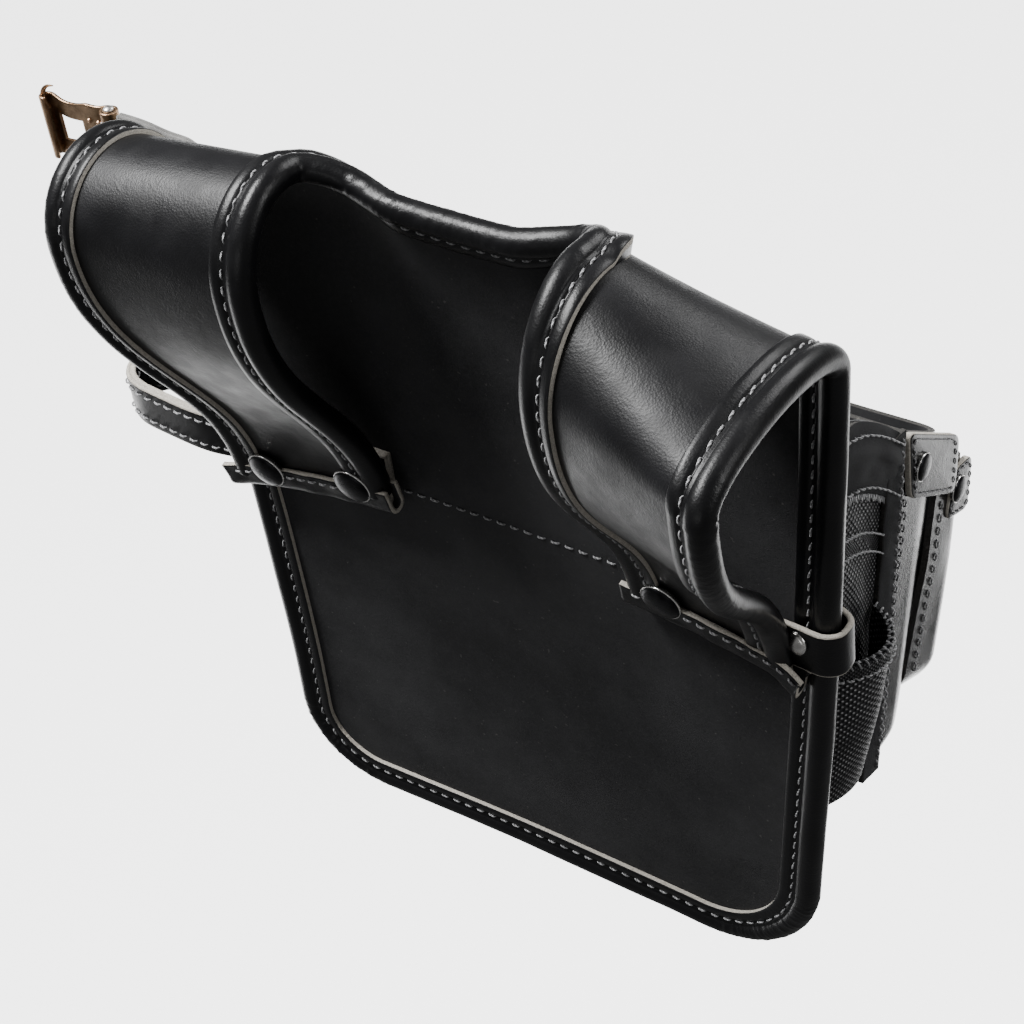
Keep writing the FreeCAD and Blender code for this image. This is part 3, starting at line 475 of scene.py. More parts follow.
def loop_point(side, u, s):
    """Middle of the hide on a belt loop. u runs 0-1 from the inner edge to the outer one;
    s runs 0-1 from the fold over the top, 1-2 down the front, and past 2 straight on."""
    shape = LOOPS[side]
    u, s = np.broadcast_arrays(np.asarray(u, float), np.asarray(s, float))
    depth, rise, top, low, end = (lerp(*shape[key], u) for key in ("depth", "rise", "top", "low", "end"))
    turn = np.pi * np.clip(s, 0, 1)
    over_y = MIDDLE - depth / 2 * (1 - np.cos(turn))
    over_z = FOLD + rise * np.sin(turn)
    k = np.clip(s - 1, 0, 1)
    drop = FOLD - end
    foot = FACE - shape["standoff"]
    weights = ((1 - k) ** 3, 3 * k * (1 - k) ** 2, 3 * k * k * (1 - k), k ** 3)
    down_y = (weights[0] + weights[1]) * (MIDDLE - depth) + weights[2] * (foot - 6) + weights[3] * foot
    down_z = (weights[0] * FOLD + weights[1] * (FOLD - 0.45 * drop)
              + weights[2] * (end + 0.45 * drop) + weights[3] * end)
    past = np.clip(s - 2, 0, 1)
    down_y = down_y + past * 18.0
    down_z = down_z - past * 1.35 * drop
    x = lerp(top, low, ease(k * lerp(1.0, shape["waist"], u)))
    front = s > 1
    return np.stack([shape["sign"] * x, np.where(front, down_y, over_y), np.where(front, down_z, over_z)], -1)


def loop_normal(side, u, s):
    """The loop's outward direction."""
    step = 0.004
    du = loop_point(side, u + step, s) - loop_point(side, u - step, s)
    ds = loop_point(side, u, s + step) - loop_point(side, u, s - step)
    return unit(LOOPS[side]["sign"] * np.cross(ds, du))


def yoke_share(x):
    """How far the panel at x follows the loops and not the yoke's own bend."""
    return ease((np.abs(x) - 18) / 29)


def yoke_point(x, turn):
    """Middle of the hide between the loops; turn is the angle up the loops' curl."""
    x, turn = np.broadcast_arrays(np.asarray(x, float), np.asarray(turn, float))
    across = np.clip((x + 47) / 94.8, 0, 1)
    rise = lerp(LOOPS["left"]["rise"][0], LOOPS["right"]["rise"][0], across)
    depth = lerp(LOOPS["left"]["depth"][0], LOOPS["right"]["depth"][0], across)
    z = FOLD + rise * np.sin(turn)
    bend = MIDDLE - YOKE_RADIUS + np.sqrt(YOKE_RADIUS ** 2 - z ** 2)
    curl = MIDDLE - depth / 2 * (1 - np.cos(turn))
    return np.stack([x, lerp(bend, curl, yoke_share(x)), z], -1)


def yoke_normal(x, turn):
    """The yoke's direction away from the wearer."""
    step = 0.02
    dx = yoke_point(x + 20 * step, turn) - yoke_point(x - 20 * step, turn)
    dt = yoke_point(x, turn + step) - yoke_point(x, turn - step)
    return unit(np.cross(dt, dx))


def panel_point(x, z):
    """Middle of the hide below the fold."""
    x, z = np.broadcast_arrays(np.asarray(x, float), np.asarray(z, float))
    up = np.clip(z, 0, None)
    bend = MIDDLE - YOKE_RADIUS + np.sqrt(YOKE_RADIUS ** 2 - up ** 2)
    return np.stack([x, lerp(bend, MIDDLE, yoke_share(x)), z], -1)


def side_circle(side):
    """Centre X, Z and radius of the panel's gently curved side edge."""
    a = np.array([LOOPS[side]["top"][1], FOLD])
    b = np.array([HALF_WAIST[side], WAIST])
    c = np.array([HALF_BOTTOM[side], BOTTOM])
    rows = np.array([2 * (b - a), 2 * (c - a)])
    centre = np.linalg.solve(rows, [b @ b - a @ a, c @ c - a @ a])
    return centre, np.linalg.norm(a - centre)


def side_x(side, z):
    """Half width of the panel at height z, without its rounded corner."""
    centre, radius = side_circle(side)
    reach = np.sqrt(radius ** 2 - (z - centre[1]) ** 2)
    return centre[0] + (reach if centre[0] < HALF_WAIST[side] else -reach)


def corner(side):
    """Centre of the lower corner's arc and the angle where it meets the side."""
    radius = CORNER[side]
    z = BOTTOM + radius
    slope = side_x(side, z + 1) - side_x(side, z)
    out = unit(np.array([1.0, -slope]))
    z = BOTTOM + radius + radius * out[1]
    centre = np.array([side_x(side, z), z]) - radius * out
    return centre, math.atan2(out[1], out[0])


def outline_x(side, z, inset):
    """Half width of the panel at height z, drawn in by inset, with its rounded corner."""
    centre, angle = corner(side)
    reach = CORNER[side] - inset
    low = centre[1] + reach * math.sin(angle)
    rounded = centre[0] + np.sqrt(np.clip(reach ** 2 - (z - centre[1]) ** 2, 0, None))
    return np.where(z < low, rounded, side_x(side, z) - inset)


def dip_turn(x):
    """The yoke's upper edge, as an angle up the loops' curl."""
    share = np.abs(x) / 47
    height = lerp(DIP_MIDDLE, DIP_END, share ** 2)
    across = np.clip((x + 47) / 94.8, 0, 1)
    rise = lerp(LOOPS["left"]["rise"][0], LOOPS["right"]["rise"][0], across)
    return np.arcsin(np.clip((height - FOLD) / rise, 0, 1))


# ------------------------------------------------------------------ edge paths

def outer_path():
    """The pouch's outer edge, from the left loop's lower end round the panel to the right one's."""
    spots = []
    normals = []

    def put(points, directions):
        spots.append(np.atleast_2d(points))
        normals.append(np.broadcast_to(directions, np.atleast_2d(points).shape))

    down = np.linspace(1.99, 0, 160)
    put(loop_point("left", 1.0, down), loop_normal("left", 1.0, down))
    for side, sign in (("left", -1), ("right", 1)):
        centre, angle = corner(side)
        radius = CORNER[side]
        z = np.linspace(FOLD, centre[1] + radius * math.sin(angle), 60)[1:]
        sides = np.stack([sign * side_x(side, z), np.full_like(z, MIDDLE), z], -1)
        turn = np.linspace(angle, -math.pi / 2, 24)[1:]
        arc = np.stack([sign * (centre[0] + radius * np.cos(turn)), np.full_like(turn, MIDDLE),
                        centre[1] + radius * np.sin(turn)], -1)
        piece = np.concatenate([sides, arc])
        put(piece if side == "left" else piece[::-1], (0, 1, 0))
    put(loop_point("right", 1.0, down[::-1]), loop_normal("right", 1.0, down[::-1]))
    return np.concatenate(spots), np.concatenate(normals)


CORNER_TURN = math.radians(76)


def inner_edge_turns():
    """The yoke's edge from loop to loop, as X and angle, with a rounded corner at each end."""
    ends = []
    for sign, side in ((-1, "left"), (1, "right")):
        x_end = sign * LOOPS[side]["top"][0]
        x_start = sign * 36.0
        start = np.array([x_start, dip_turn(x_start)])
        control = np.array([x_end, dip_turn(x_end)])
        stop = np.array([x_end, CORNER_TURN])
        k = np.linspace(0, 1, 16)[:, None]
        ends.append((1 - k) ** 2 * start + 2 * k * (1 - k) * control + k ** 2 * stop)
    x = np.linspace(-36, 36, 60)[1:-1]
    return np.concatenate([ends[0][::-1], np.stack([x, dip_turn(x)], -1), ends[1]])


def inner_path():
    """The inner edge: up the left loop's inner edge, along the dipped yoke, down the right loop's."""
    s = np.linspace(1.99, CORNER_TURN / math.pi, 140)[:-1]
    turns = inner_edge_turns()
    spots = [loop_point("left", 0.0, s), yoke_point(turns[:, 0], turns[:, 1]), loop_point("right", 0.0, s[::-1])]
    normals = [loop_normal("left", 0.0, s), yoke_normal(turns[:, 0], turns[:, 1]),
               loop_normal("right", 0.0, s[::-1])]
    return np.concatenate(spots), np.concatenate(normals)


# ------------------------------------------------------------------ the hide

def hide_piece():
    """Panel, yoke and both loops: one hide, grain side out over the loops, flesh side to the wearer."""
    cols = {"left": 30, "right": 30}
    share = {side: EDGE_INSET / (LOOPS[side]["top"][1] - LOOPS[side]["top"][0]) for side in cols}
    u = {side: np.linspace(share[side], 1 - share[side], cols[side]) for side in cols}
    inner_x = {side: lerp(*LOOPS[side]["top"], share[side]) for side in cols}
    middle_x = np.linspace(-inner_x["left"], inner_x["right"], 40)
    lump = Lump()

    low = BOTTOM + EDGE_INSET
    bend = 1 - np.cos(np.linspace(0, np.pi / 2, 30))
    curve = max(CORNER.values())
    z = np.concatenate([low + curve * bend[:-1], np.linspace(low + curve, FOLD, 70)])
    rows = []
    for height in z:
        left = lerp(inner_x["left"], outline_x("left", height, EDGE_INSET),
                    (u["left"] - share["left"]) / (1 - 2 * share["left"]))
        right = lerp(inner_x["right"], outline_x("right", height, EDGE_INSET),
                     (u["right"] - share["right"]) / (1 - 2 * share["right"]))
        rows.append(np.concatenate([-left[::-1], middle_x[1:-1], right]))
    x = np.array(rows)
    x[-1] = np.concatenate([-lerp(*LOOPS["left"]["top"], u["left"])[::-1], middle_x[1:-1],
                            lerp(*LOOPS["right"]["top"], u["right"])])
    lump.grid(panel_point(x, z[:, None]))

    steps = np.linspace(0, 1, 22)
    join = CORNER_TURN - 0.12
    turns = inner_edge_turns()
    inward_x = np.sign(middle_x) * np.maximum(np.abs(middle_x) - 1.6, 0)
    edge = np.minimum(np.interp(inward_x, turns[:, 0], turns[:, 1]) - 0.05, join)
    lump.grid(yoke_point(middle_x[None], steps[:, None] * edge[None])[:, ::1])

    for side in ("left", "right"):
        s = np.concatenate([steps * join / math.pi, np.linspace(join / math.pi, 1, 40)[1:],
                            np.linspace(1, 2.03, 70)[1:]])
        points = loop_point(side, u[side][None], s[:, None])
        lump.grid(points if side == "right" else points[:, ::-1])
    return lump


def make_hide():
    lump = hide_piece()
    verts = relax(np.concatenate(lump.verts))
    return build("hide", verts, lump.faces, [FLESH, SATIN, RAW], "matte_leather",
                 replaces=("back_panel", "belt_loop_left", "belt_loop_right"), thick=HIDE, weld=0.05)


# ------------------------------------------------------------------ edge binding

def binding_profile(flange=FLANGE, stitch=STITCH_INSET, roll=ROLL_RADIUS, groove=0.75):
    """The binding's closed outline as inward and normal distances, with the cut edges marked."""
    half = HIDE / 2
    top = half + 1.6
    upper = [(flange, half - 0.4), (flange, top - 0.2), (flange - 0.2, top), (flange - 1.6, top + 0.05),
             (stitch + 1.6, top - 0.03 * groove), (stitch + 0.9, top - 0.27 * groove),
             (stitch + 0.4, top - 0.73 * groove), (stitch, top - groove), (stitch - 0.4, top - 0.8 * groove),
             (stitch - 0.75, top - 0.2 * groove)]
    start = math.radians(42)
    for turn in np.linspace(start, math.pi, 15)[:-1]:
        upper.append((roll * (1 + math.cos(turn)), roll * math.sin(turn)))
    points = upper + [(0.0, 0.0)] + [(b, -n) for b, n in reversed(upper)]
    cut = {0, len(points) - 2}
    return np.array(points), cut


def binding(name, path, normal, turn, replaces, spots=(), lumpy=0.0, gathers=1.0, rows=(1, -1), **shape):
    """A rolled, sewn-down binding swept along an edge, open only at its two cut ends."""
    path, normal = resample(path, 0.7, path * 0 + normal)
    normal = blur(normal, 6)
    tangent, inward, normal = frames(path, normal, turn)
    far = along(path)
    turning = blur(((np.gradient(tangent, axis=0) * inward).sum(-1) / 0.7)[:, None], 8)[:, 0]
    gather = gathers * np.clip(np.abs(turning) * 20 - 0.12, 0, 0.8)
    for centre, reach, amount in spots:
        gather = np.maximum(gather, amount * np.exp(-((far - centre * far[-1]) / reach) ** 2))
    profile, cut = binding_profile(**shape)
    stitch = shape.get("stitch", STITCH_INSET)
    count = len(profile)
    b = np.broadcast_to(profile[:, 0], (len(path), count)).copy()
    n = np.broadcast_to(profile[:, 1], (len(path), count)).copy()
    for i, (x, g) in enumerate(zip(far, gather)):
        angle = np.arctan2(profile[:, 1], profile[:, 0] - ROLL_RADIUS)
        for j in range(count):
            on_roll = 1.0 if profile[j, 0] < 8.2 else 0.35
            wave = noise.noise(Vector((x / 2.1 + 0.5 * angle[j], angle[j] * 0.55, 3.0)))
            long_ = noise.noise(Vector((x / 17.0, angle[j] * 0.8, 9.0)))
            swell = on_roll * (0.62 * g * (abs(wave) * 2.2 - 0.55) + (0.12 + lumpy) * long_)
            b[i, j] += swell * math.cos(angle[j])
            n[i, j] += swell * math.sin(angle[j])
    points = path[:, None] + b[..., None] * inward[:, None] + n[..., None] * normal[:, None]
    points = relax(points)
    lump = Lump()
    mats = [2 if j in cut else 0 for _ in range(len(path) - 1) for j in range(count)]
    lump.grid(points, closed=True, mat=mats)
    for end, step in ((0, 1), (-1, -1)):
        ring = points[end]
        core = ring.mean(0)
        inner = []
        for j in range(count):
            flat = profile[j]
            pull = np.array([min(flat[0], ROLL_RADIUS + 0.0), 0.0])
            toward = pull - flat
            size = np.linalg.norm(toward)
            shift = toward / max(size, 1e-6) * min(1.5, size * 0.8)
            inner.append(path[end] * 0 + (shift[0] * inward[end] + shift[1] * normal[end]))
        inner = ring + np.array(inner)
        sunk = inner + step * tangent[end] * 0.6
        rings = np.stack([ring, inner, sunk])
        base = lump.count
        lump.grid(rings, closed=True, mat=[2] * count + [1] * count)
        lump.add([core + step * tangent[end] * 0.6], [])
        hub = lump.count - 1
        first = base + 2 * count
        lump.faces += [(first + j, first + (j + 1) % count, hub) for j in range(count)]
        lump.mats += [1] * count
    piece = lump.build(name, [GLOSS, FLESH, RAW], "gloss_leather", replaces=replaces, weld=0.002)
    sewing = Lump()
    height = HIDE / 2 + 1.6 - shape.get("groove", 0.75)
    for face in rows:
        line = path + stitch * inward + face * height * normal
        add_stitches(sewing, relax(line[6:-6]), face * normal[6:-6], slant=0.12 * face)
    sewing.build(name + "_stitching", [THREAD], "gloss_leather")
    return piece


def strip_path(side):
    """The folded lower edge of a loop, from its inner corner to its outer one."""
    u = np.linspace(-0.03, 1.03, 60)
    foot = loop_point(side, u, 2.0)
    down = unit(loop_point(side, u, 2.05) - foot)
    spots = foot + down * STRIP_HEIGHT
    spots[:, 2] += 1.6 * np.sin(np.linspace(0, math.pi, 60)) - 0.8
    spots[:, 2] -= (4.5 if side == "right" else 1.0) * ease((u - 0.86) / 0.16)
    return spots, loop_normal(side, np.clip(u, 0.02, 0.98), 1.97)


def channel(height, inside, wall, steps=12):
    """A U-shaped fold's outline: its outer side, then its inner one, as height and thickness."""
    turn = np.linspace(0, np.pi, steps)
    sides = []
    for half, floor in ((inside + wall, 0.0), (inside, wall)):
        arm = [(h, half) for h in np.linspace(height, floor + half + 0.5, 8)]
        round_ = [(floor + half - half * math.sin(a), half * math.cos(a)) for a in turn]
        sides.append(np.array(arm + round_ + [(h, -n) for h, n in reversed(arm)]))
    return sides


def end_strip(side):
    """The folded strip sewn over a loop's lower edge, with its pale cut ends."""
    path, normal = strip_path(side)
    path, normal = resample(path, 0.8, normal)
    tangent, inward, normal = frames(path, normal, -LOOPS[side]["sign"])
    outer, inner = channel(STRIP_FLANGE, HIDE / 2 + 0.1, 1.7)
    rings = []
    for outline, lumps in ((outer, 1.0), (inner[::-1], 0.0)):
        wave = np.array([[noise.noise(Vector((i / 9.0, j * 0.22, 5.0))) for j in range(len(outline))]
                         for i in range(len(path))])
        grow = 1 + 0.10 * lumps * wave
        rings.append(path[:, None] + outline[None, :, :1] * inward[:, None]
                     + (outline[None, :, 1] * grow)[..., None] * normal[:, None])
    points = relax(np.concatenate(rings, 1))
    count = len(outer)
    lump = Lump()
    per_face = [0 if j < count - 1 else 2 if j in (count - 1, 2 * count - 1) else 1
                for _ in range(len(path) - 1) for j in range(2 * count)]
    lump.grid(points, closed=True, mat=per_face)
    for end in (0, -1):
        cap = np.stack([points[end, :count], points[end, count:][::-1]])
        lump.grid(cap, mat=2)
    lump.build("end_strip_" + side, [GLOSS, FLESH, RAW], "gloss_leather", replaces="loop_end_strip_" + side,
               weld=0.002)
    line = path + (STRIP_FLANGE - 2.4) * inward + (HIDE / 2 + 1.75) * normal
    stitch_row("end_strip_stitching_" + side, line[4:-4], normal[4:-4], pitch=4.6, length=3.2)


STRIP_FLANGE = 10.8

# ------------------------------------------------------------------ the whole run so far

def make_bindings():
    path, normal = outer_path()
    binding("edge_binding_outer", path, normal, 1,
            ("outer_edge_binding", "loop_edge_binding_left", "loop_edge_binding_right"),
            spots=((0.10, 30, 0.25), (0.90, 40, 0.2)))
    path, normal = inner_path()
    binding("edge_binding_inner", path, normal, -1, "inner_edge_binding",
            spots=((0.46, 40, 0.3), (0.52, 60, 0.22)), gathers=0.35)
    for side in ("left", "right"):
        end_strip(side)


def make_seam_line():
    """The one row that sews the inner panel's top edge through the back panel."""
    x = np.linspace(-74.0, 76.0, 120)
    height = LINING_HIGH[2] - 6.2
    line = np.stack([x, np.full_like(x, FACE), height + 0.5 * np.sin(x / 31.0)], -1)
    stitch_row("panel_seam_stitching", line, np.broadcast_to([0, -1, 0], line.shape), slot="matte_leather",
               lift=0.12, width=0.36, length=3.4)


# ------------------------------------------------------------------ rivets and straps

def lathe(lump, place, axis, outline, mats, sides=40):
    """A turned shape: outline is radius and height along the axis."""
    axis = unit(np.asarray(axis, float))
    side = unit(np.cross(axis, [0.13, 0.21, 0.97]))
    up = np.cross(axis, side)
    turn = np.linspace(0, 2 * np.pi, sides, endpoint=False)
    ring = np.cos(turn)[:, None] * side + np.sin(turn)[:, None] * up
    rows = np.array([place + radius * ring + height * axis for radius, height in outline])
    per_face = [mat for mat in mats for _ in range(sides)]
    lump.grid(rows, closed=True, mat=per_face)


def rivet_cap(lump, place, axis, radius, height):
    """A domed cap with a bright rolled rim."""
    bulge = [(radius * 0.93 * math.sin(a), height * (0.36 + 0.64 * math.cos(a)))
             for a in np.linspace(0.02, math.pi / 2, 11)]
    rim = [(radius * 0.945, height * 0.33), (radius * 0.965, height * 0.40), (radius * 0.985, height * 0.36),
           (radius, height * 0.2), (radius * 0.985, 0.0), (radius * 0.95, -0.5)]
    outline = bulge + rim
    mats = [0] * (len(bulge) - 1) + [1] * len(rim)
    lathe(lump, place, axis, outline, mats)


def on_loop(side, x, z):
    """Where on a loop's lower part a point at this X and Z is, as u and s."""
    s = np.linspace(1.6, 2.0, 200)
    low = LOOPS[side]["low"]
    top = LOOPS[side]["top"]
    inner, outer = (lerp(top[i], low[i], ease(s - 1)) for i in (0, 1))
    u = (abs(x) - inner) / (outer - inner)
    best = np.argmin(np.abs(loop_point(side, u, s)[:, 2] - z))
    return u[best], s[best]


LOOP_RIVETS = [("left", -91.0, -62.0), ("left", -55.0, -56.5), ("right", 59.0, -61.0)]


def make_loop_rivets():
    caps = Lump()
    burrs = Lump()
    for side, x, z in LOOP_RIVETS:
        u, s = on_loop(side, x, z)
        out = loop_normal(side, u, s)
        place = loop_point(side, u, s) + out * (HIDE / 2 + 1.5)
        rivet_cap(caps, relax(place), out, 7.1, 2.6)
        disc = [(1.9, 0.0), (1.9, 0.6), (2.6, 0.7), (3.2, 1.15), (4.0, 1.1), (4.5, 0.6), (4.5, -0.3)]
        lathe(burrs, relax(np.array([x, FRONT, z])), (0, 1, 0), disc, [1] * 6)
        lathe(burrs, relax(np.array([x, FRONT, z])), (0, 1, 0),
              [(0.01, 1.2), (1.0, 1.15), (1.6, 0.8), (1.7, 0.2)], [1] * 3)
    caps.build("loop_rivet_caps", [GUNMETAL, BRIGHT], "dark_rivet", replaces="loop_rivets")
    burrs.build("loop_rivet_washers", [GUNMETAL, BRIGHT], "dark_rivet", replaces="loop_rivet_burrs")


def smooth_route(points, spacing=1.0):
    """A smooth curve through given points."""
    p = np.array(points, float)
    p = np.concatenate([[2 * p[0] - p[1]], p, [2 * p[-1] - p[-2]]])
    out = []
    for i in range(1, len(p) - 2):
        t = np.linspace(0, 1, 12, endpoint=False)[:, None]
        out.append(0.5 * (2 * p[i] + (p[i + 1] - p[i - 1]) * t
                          + (2 * p[i - 1] - 5 * p[i] + 4 * p[i + 1] - p[i + 2]) * t ** 2
                          + (3 * p[i] - p[i - 1] - 3 * p[i + 1] + p[i + 2]) * t ** 3))
    out.append(p[-2:-1])
    return resample(np.concatenate(out), spacing)


def band_outline(thick, high, layers):
    """A strap's section as thickness and height, with its cut top and bottom edges marked."""
    half = thick / 2
    tops = [(-half, high - 0.55), (-half + 0.15, high - 0.15)]
    for layer in range(layers):
        a = -half + layer * thick / layers
        b = a + thick / layers
        tops += [(a + 0.3, high), ((a + b) / 2, high + 0.05), (b - 0.3, high)]
        if layer < layers - 1:
            tops.append((b, high - 0.5))
    tops += [(half - 0.15, high - 0.15), (half, high - 0.55)]
    return tops


def strap(name, plan, thick, low, high, slot, replaces, mats, layers=1, sag=0.0, rows=(), body="pouch",
          faces=(1, -1)):
    """A leather strap standing on edge and bent in plan, with cut edges above and below."""
    route = smooth_route([(x, y, 0.0) for x, y in plan])
    tangent = unit(np.gradient(route, axis=0))
    side = np.stack([-tangent[:, 1], tangent[:, 0], np.zeros(len(route))], -1)
    half = (high - low) / 2
    middle = (high + low) / 2
    upper = band_outline(thick, half, layers)
    outline = upper + [(t, h) for t, h in zip(np.full(9, thick / 2), np.linspace(half, -half, 11)[1:-1])]
    outline += [(-t, -h) for t, h in upper]
    outline += [(t, h) for t, h in zip(np.full(9, -thick / 2), np.linspace(-half, half, 11)[1:-1])]
    outline = np.array(outline)
    count = len(outline)
    share = np.linspace(-1, 1, len(route))
    lift = sag * (share ** 2 - 1)
    height = outline[:, 1]
    points = route[:, None] + outline[None, :, :1] * side[:, None]
    points[..., 2] = middle + height[None] + lift[:, None]
    lump = Lump()
    top_faces = len(upper) - 1
    cut = set(range(top_faces)) | set(range(top_faces + 10, 2 * top_faces + 10))
    per_face = [2 if j in cut else 0 for _ in range(len(route) - 1) for j in range(count)]
    points = relax(points)
    lump.grid(points, closed=True, mat=per_face)
    for end, step in ((0, -1), (-1, 1)):
        base = lump.count
        lump.add(np.concatenate([points[end], points[end].mean(0, keepdims=True)]), [])
        lump.faces += [(base + j, base + (j + 1) % count, base + count) for j in range(count)]
        lump.mats += [2] * count
    made = lump.build(name, mats, slot, replaces=replaces, weld=0.002, body=body)
    if rows:
        sewing = Lump()
        for row in rows:
            for face in faces:
                line = route + side * face * (thick / 2 + 0.05)
                line[:, 2] = middle + row + lift
                add_stitches(sewing, relax(line[3:-3]), face * side[3:-3], width=0.36, length=3.3, pitch=4.8)
        sewing.build(name + "_stitching", [THREAD], slot, body=body)
    return made


RING_PLAN = [(-48, 22.3), (-70, 22.3), (-93, 22.3), (-104, 18.6), (-118, 15.6), (-142, 13.6), (-154.5, 17),
             (-159.5, 25), (-154.5, 33), (-142, 36.4), (-121, 36.6), (-109, 38.6), (-102.3, 46), (-101.7, 54),
             (-101.7, 60)]
WRAP_PLAN = [(97, 19.6), (103, 19.9), (110.5, 20.1), (114.4, 22.6), (115.3, 26.0), (114.6, 30.2), (111, 32.6),
             (105, 34.2), (101.4, 39.0), (101.2, 46.0)]


def make_side_straps():
    low, high = node_box("hammer_ring")
    strap("hammer_ring_strap", RING_PLAN, 3.4, low[2] + 3.6, high[2], "gloss_leather", "hammer_ring",
          [GLOSS, FLESH, RAW], layers=2, rows=(5.0, -5.0))
    low, high = node_box("edge_wrap")
    strap("edge_wrap_strap", WRAP_PLAN, 1.9, low[2], high[2], "gloss_leather", "edge_wrap", [GLOSS, FLESH, RAW],
          sag=1.0)
    low, high = node_box("edge_wrap_rivet")
    centre = (low + high) / 2
    caps = Lump()
    place = relax(np.array([centre[0], low[1] + 1.0, centre[2]]))
    rivet_cap(caps, place, (-0.25, -0.95, 0.1), 3.9, 1.9)
    caps.build("edge_wrap_rivet_cap", [BRIGHT, BRIGHT], "dark_rivet", replaces="edge_wrap_rivet")


# ------------------------------------------------------------------ pocket walls

def patch(corners, nu, nv, bulge=0.0, out=(0, 0, 0), wave=0.0, seed=0.0):
    """A four-cornered sheet, crowned along out; corners run round it."""
    a, b, c, d = (np.array(p, float) for p in corners)
    u = np.linspace(0, 1, nu)[:, None, None]
    v = np.linspace(0, 1, nv)[None, :, None]
    points = lerp(lerp(a, b, u), lerp(d, c, u), v)
    crown = np.sin(np.pi * u) ** 0.8 * np.sin(np.pi * v) ** 0.8
    ripple = np.array([[noise.noise(Vector((i * 0.23, j * 0.23, seed))) for j in range(nv)] for i in range(nu)])
    return points + (bulge * crown + wave * ripple[..., None]) * np.array(out, float)


def sheet_uv(points):
    """Lengths along a grid's two directions, in millimetres, for woven cloth."""
    du = np.linalg.norm(np.diff(points, axis=0), axis=-1).mean(1)
    dv = np.linalg.norm(np.diff(points, axis=1), axis=-1).mean(0)
    u = np.concatenate([[0], np.cumsum(du)])[:, None]
    v = np.concatenate([[0], np.cumsum(dv)])[None]
    return np.stack(np.broadcast_arrays(u, v), -1)


def declare_cloth(points):
    """Scales a grid's points to metres; nothing further is done with them."""
    points = np.asarray(points, float) * MM


def wall(name, points, thick, mats, slot, replaces=(), uv=True):
    """A sheet of leather or nylon from a grid of points."""
    lump = Lump()
    points = relax(points)
    lump.grid(points, uvs=sheet_uv(points) if uv else None)
    return lump.build(name, mats, slot, replaces=replaces, thick=thick)


PANEL_WALL_LOW, PANEL_WALL_HIGH = node_box("main_pocket_front")
GUSSET_LOW, GUSSET_HIGH = node_box("gusset_right")
FLOOR_LOW, FLOOR_HIGH = node_box("main_pocket_bottom")
HEEL = np.array([GUSSET_LOW[1] + 0.3, FLOOR_HIGH[2]])
TOE = np.array([PANEL_WALL_LOW[1], PANEL_WALL_LOW[2]])
LIP = np.array([GUSSET_HIGH[1], PANEL_WALL_HIGH[2]])
BACK = np.array([GUSSET_LOW[1] + 0.3, GUSSET_HIGH[2]])
GUSSET_X = GUSSET_HIGH[0]


ARCH = 8.0


def at(sign, x, spot):
    """A side-view point at a distance from the middle plane."""
    return (sign * x, spot[0], spot[1])


